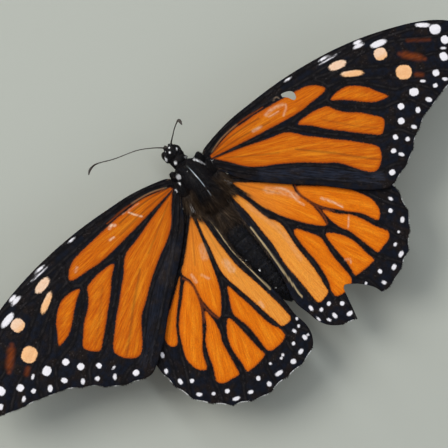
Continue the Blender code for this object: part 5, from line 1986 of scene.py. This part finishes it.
def make_wings() -> list[Wing]:
    """The four wings with their own places, spots and wear."""
    left_fore_wear = rows_of(
        Rub, (((11.3, 2.9), (11.7, 3.3), (12.3, 3.2)), 0.42, 0.95, 0.1),
        (((8, 2.6), (7.6, 1.6), (7, 0.5)), 0.27, 0.9, 0), (((12.9, 1.6), (13.8, 1.8)), 0.24, 0.9, 0.1),
        (((21, 2.8), (21.8, 2.5)), 0.3, 0.6, 0), (((7.6, -7.6), (10, -8.3), (12.6, -9.8)), 1.3, 0.04),
        (((5.6, 2.4), (9, 3.2)), 0.16, 0.3))
    right_fore_wear = rows_of(
        Rub, (((11.9, 2.5), (13.4, 3), (15.4, 2.9)), 0.5, 0.55, 0),
        (((14.6, 1), (15.6, 2), (15.9, 2.7)), 0.25, 0.65, 0), (((8.6, 0.9), (10.2, 1)), 0.42, 0.6, 0),
        (((12.2, 2), (14.2, 2.1)), 0.26, 0.6, 0), (((14.2, 4.3), (14.9, 4.7), (15.3, 4.2)), 0.16, 0.9))
    left_hind_wear = rows_of(
        Rub, (((6.4, -0.1), (8, 0.1)), 1, 0.3), (((10.4, 3.3), (11.8, 2.9)), 0.35, 0.5),
        (((10.9, 1.6), (11.9, 0.6)), 0.3, 0.4), (((10, -3), (11.6, -3.7)), 0.9, 0.4),
        (((18.4, -6.6), (19.3, -6.9)), 0.4, 0.4), (((6, 5.4), (6.9, 6.3), (9.1, 7.7)), 1.1, 0.05),
        (((5.2, 4.4), (6, 4.9)), 0.7, 0.05))
    right_hind_wear = rows_of(
        Rub, (((6.6, 1.7), (9.4, 2.8), (11.8, 3)), 0.9, 0.3),
        (((8, 2.9), (9.6, 3.3), (11.2, 2.9)), 0.3, 0.8, 0),
        (((10.6, 3.2), (12, 2.5), (13.6, 2.3)), 0.3, 0.7, 0),
        (((15.8, 4.7), (17.8, 5), (19.9, 5)), 0.3, 0.9, 0), (((21.6, 4), (22.4, 2.2)), 0.24, 0.6, 0),
        (((24.4, -3.2), (25.2, -2.7), (25.6, -3.1)), 0.24, 0.6, 0),
        (((5, -2.2), (12, -3.6), (17, -6.2)), 0.7, 0.15))
    left_seam = ((1.2, -2.05), (2.6, -2.9), (8.6, -4.85), (15.8, -8.6), (16.8, -9.1))
    right_seam = ((7, -5.4), (9.1, -6.4), (14.75, -9.3), (20, -11.9))
    band = ((7, -6.9), (13, -9.6), (19, -12.9), (25, -16.6))
    left_spots = tuple(spot.shrunk(LEFT_WHITE) for spot in LEFT_HINDWING_SPOTS)
    right_spots = tuple(spot.shrunk(RIGHT_WHITE) for spot in RIGHT_HINDWING_SPOTS)
    inner_edge = (Rub(((3, -3.2), (10, -6.2), (18, -10.2)), 1.2, 0.2),)
    costa = (Rub(((0.4, 0.75), (3, 2.2), (6.5, 3.25)), 0.22, 0.3, 0),)
    fore = dict(plan=FOREWING, hinge=(4.5, 0.0, 0.0), rise=(0.070, 0.040), creams=costa, white_fringe=0.06)
    hind = dict(plan=HINDWING, hinge=(4.2, 5.3, -0.9), rise=(0.080, 0.040), sheens=inner_edge)
    return [
        Wing(**fore, side=Side.LEFT, sweep=9.1, size=(1.0, 1.0), spots=FOREWING_SPOTS + LEFT_FOREWING_SPOTS,
             wear=left_fore_wear, sheens=(Rub(band, 1.6, 0.3),), seed=21),
        Wing(**fore, side=Side.RIGHT, sweep=12.9, size=(0.975, 0.96), cuts=(WING_HOLE,),
             spots=FOREWING_SPOTS + RIGHT_FOREWING_SPOTS, wear=right_fore_wear,
             sheens=(Rub(band, 1.6, 0.65),), seed=22),
        Wing(**hind, side=Side.LEFT, sweep=68.8, size=(1.0, 1.0), spots=left_spots,
             wear=left_hind_wear, creams=(Rub(left_seam, 0.14),), drawn=0.3,
             hem_shift=((0.0, 0.0), (8.0, 0.75), (16.0, 0.25)), seed=23),
        Wing(**hind, side=Side.RIGHT, sweep=65.2, size=(0.98, 0.985), spots=right_spots,
             wear=right_hind_wear, creams=(Rub(right_seam, 0.2, 0.9),), drawn=-0.4, trail=(0.6, 0.5),
             widened=0.5, hem_shift=((0.0, 0.0), (8.0, -0.75), (15.4, -1.4), (19.1, -2.2), (22.2, -1.75),
                                     (24.2, -1.0), (26.3, -0.35)),
             white_fringe=0.12, cuts=(TORN_WEDGE,), seed=24)]


def main() -> None:
    """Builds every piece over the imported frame."""
    logging.basicConfig(level=logging.INFO, format="%(message)s")
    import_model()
    space = BodySpace.from_frame()
    effects = Effects()
    fore_finish = WingFinish("forewing_scales", bright=(0.66, 0.165, 0.0045), deep=(0.46, 0.080, 0.002),
                             pale=(0.74, 0.27, 0.04), under=(0.62, 0.22, 0.03), glow=(0.78, 0.27, 0.012))
    hind_finish = WingFinish("hindwing_scales", bright=(0.78, 0.195, 0.004), deep=(0.62, 0.125, 0.002),
                             pale=(0.84, 0.36, 0.06), under=(0.74, 0.40, 0.12), glow=(0.88, 0.29, 0.012))
    wing_finishes = {"forewing": fore_finish.make(effects), "hindwing": hind_finish.make(effects)}
    skin_finish = CoatFinish("body_skin", roughness=0.42).make(effects)
    coat_finish = CoatFinish("body_coat", roughness=0.46).make(effects)
    fringe_finish = CoatFinish("wing_fringe", roughness=0.6).make(effects)
    cuticle = CuticleFinish().make(effects)
    wings = make_wings()
    for wing in wings:
        wing.build(space, wing_finishes[wing.plan.kind])
        wing.fringe(space, fringe_finish)
    trunk = Trunk(space)
    trunk.build_skin(skin_finish)
    trunk.build_eyes(EyeFinish().make(effects))
    trunk.build_coat(coat_finish)
    WingBaseHair().build(wings, space, coat_finish)
    limbs = Limbs(space)
    limbs.build_legs(cuticle, coat_finish)
    limbs.build_antennae(cuticle)
    limbs.build_proboscis(cuticle)
    Studio(space).build()


if __name__ == "__main__":
    main()
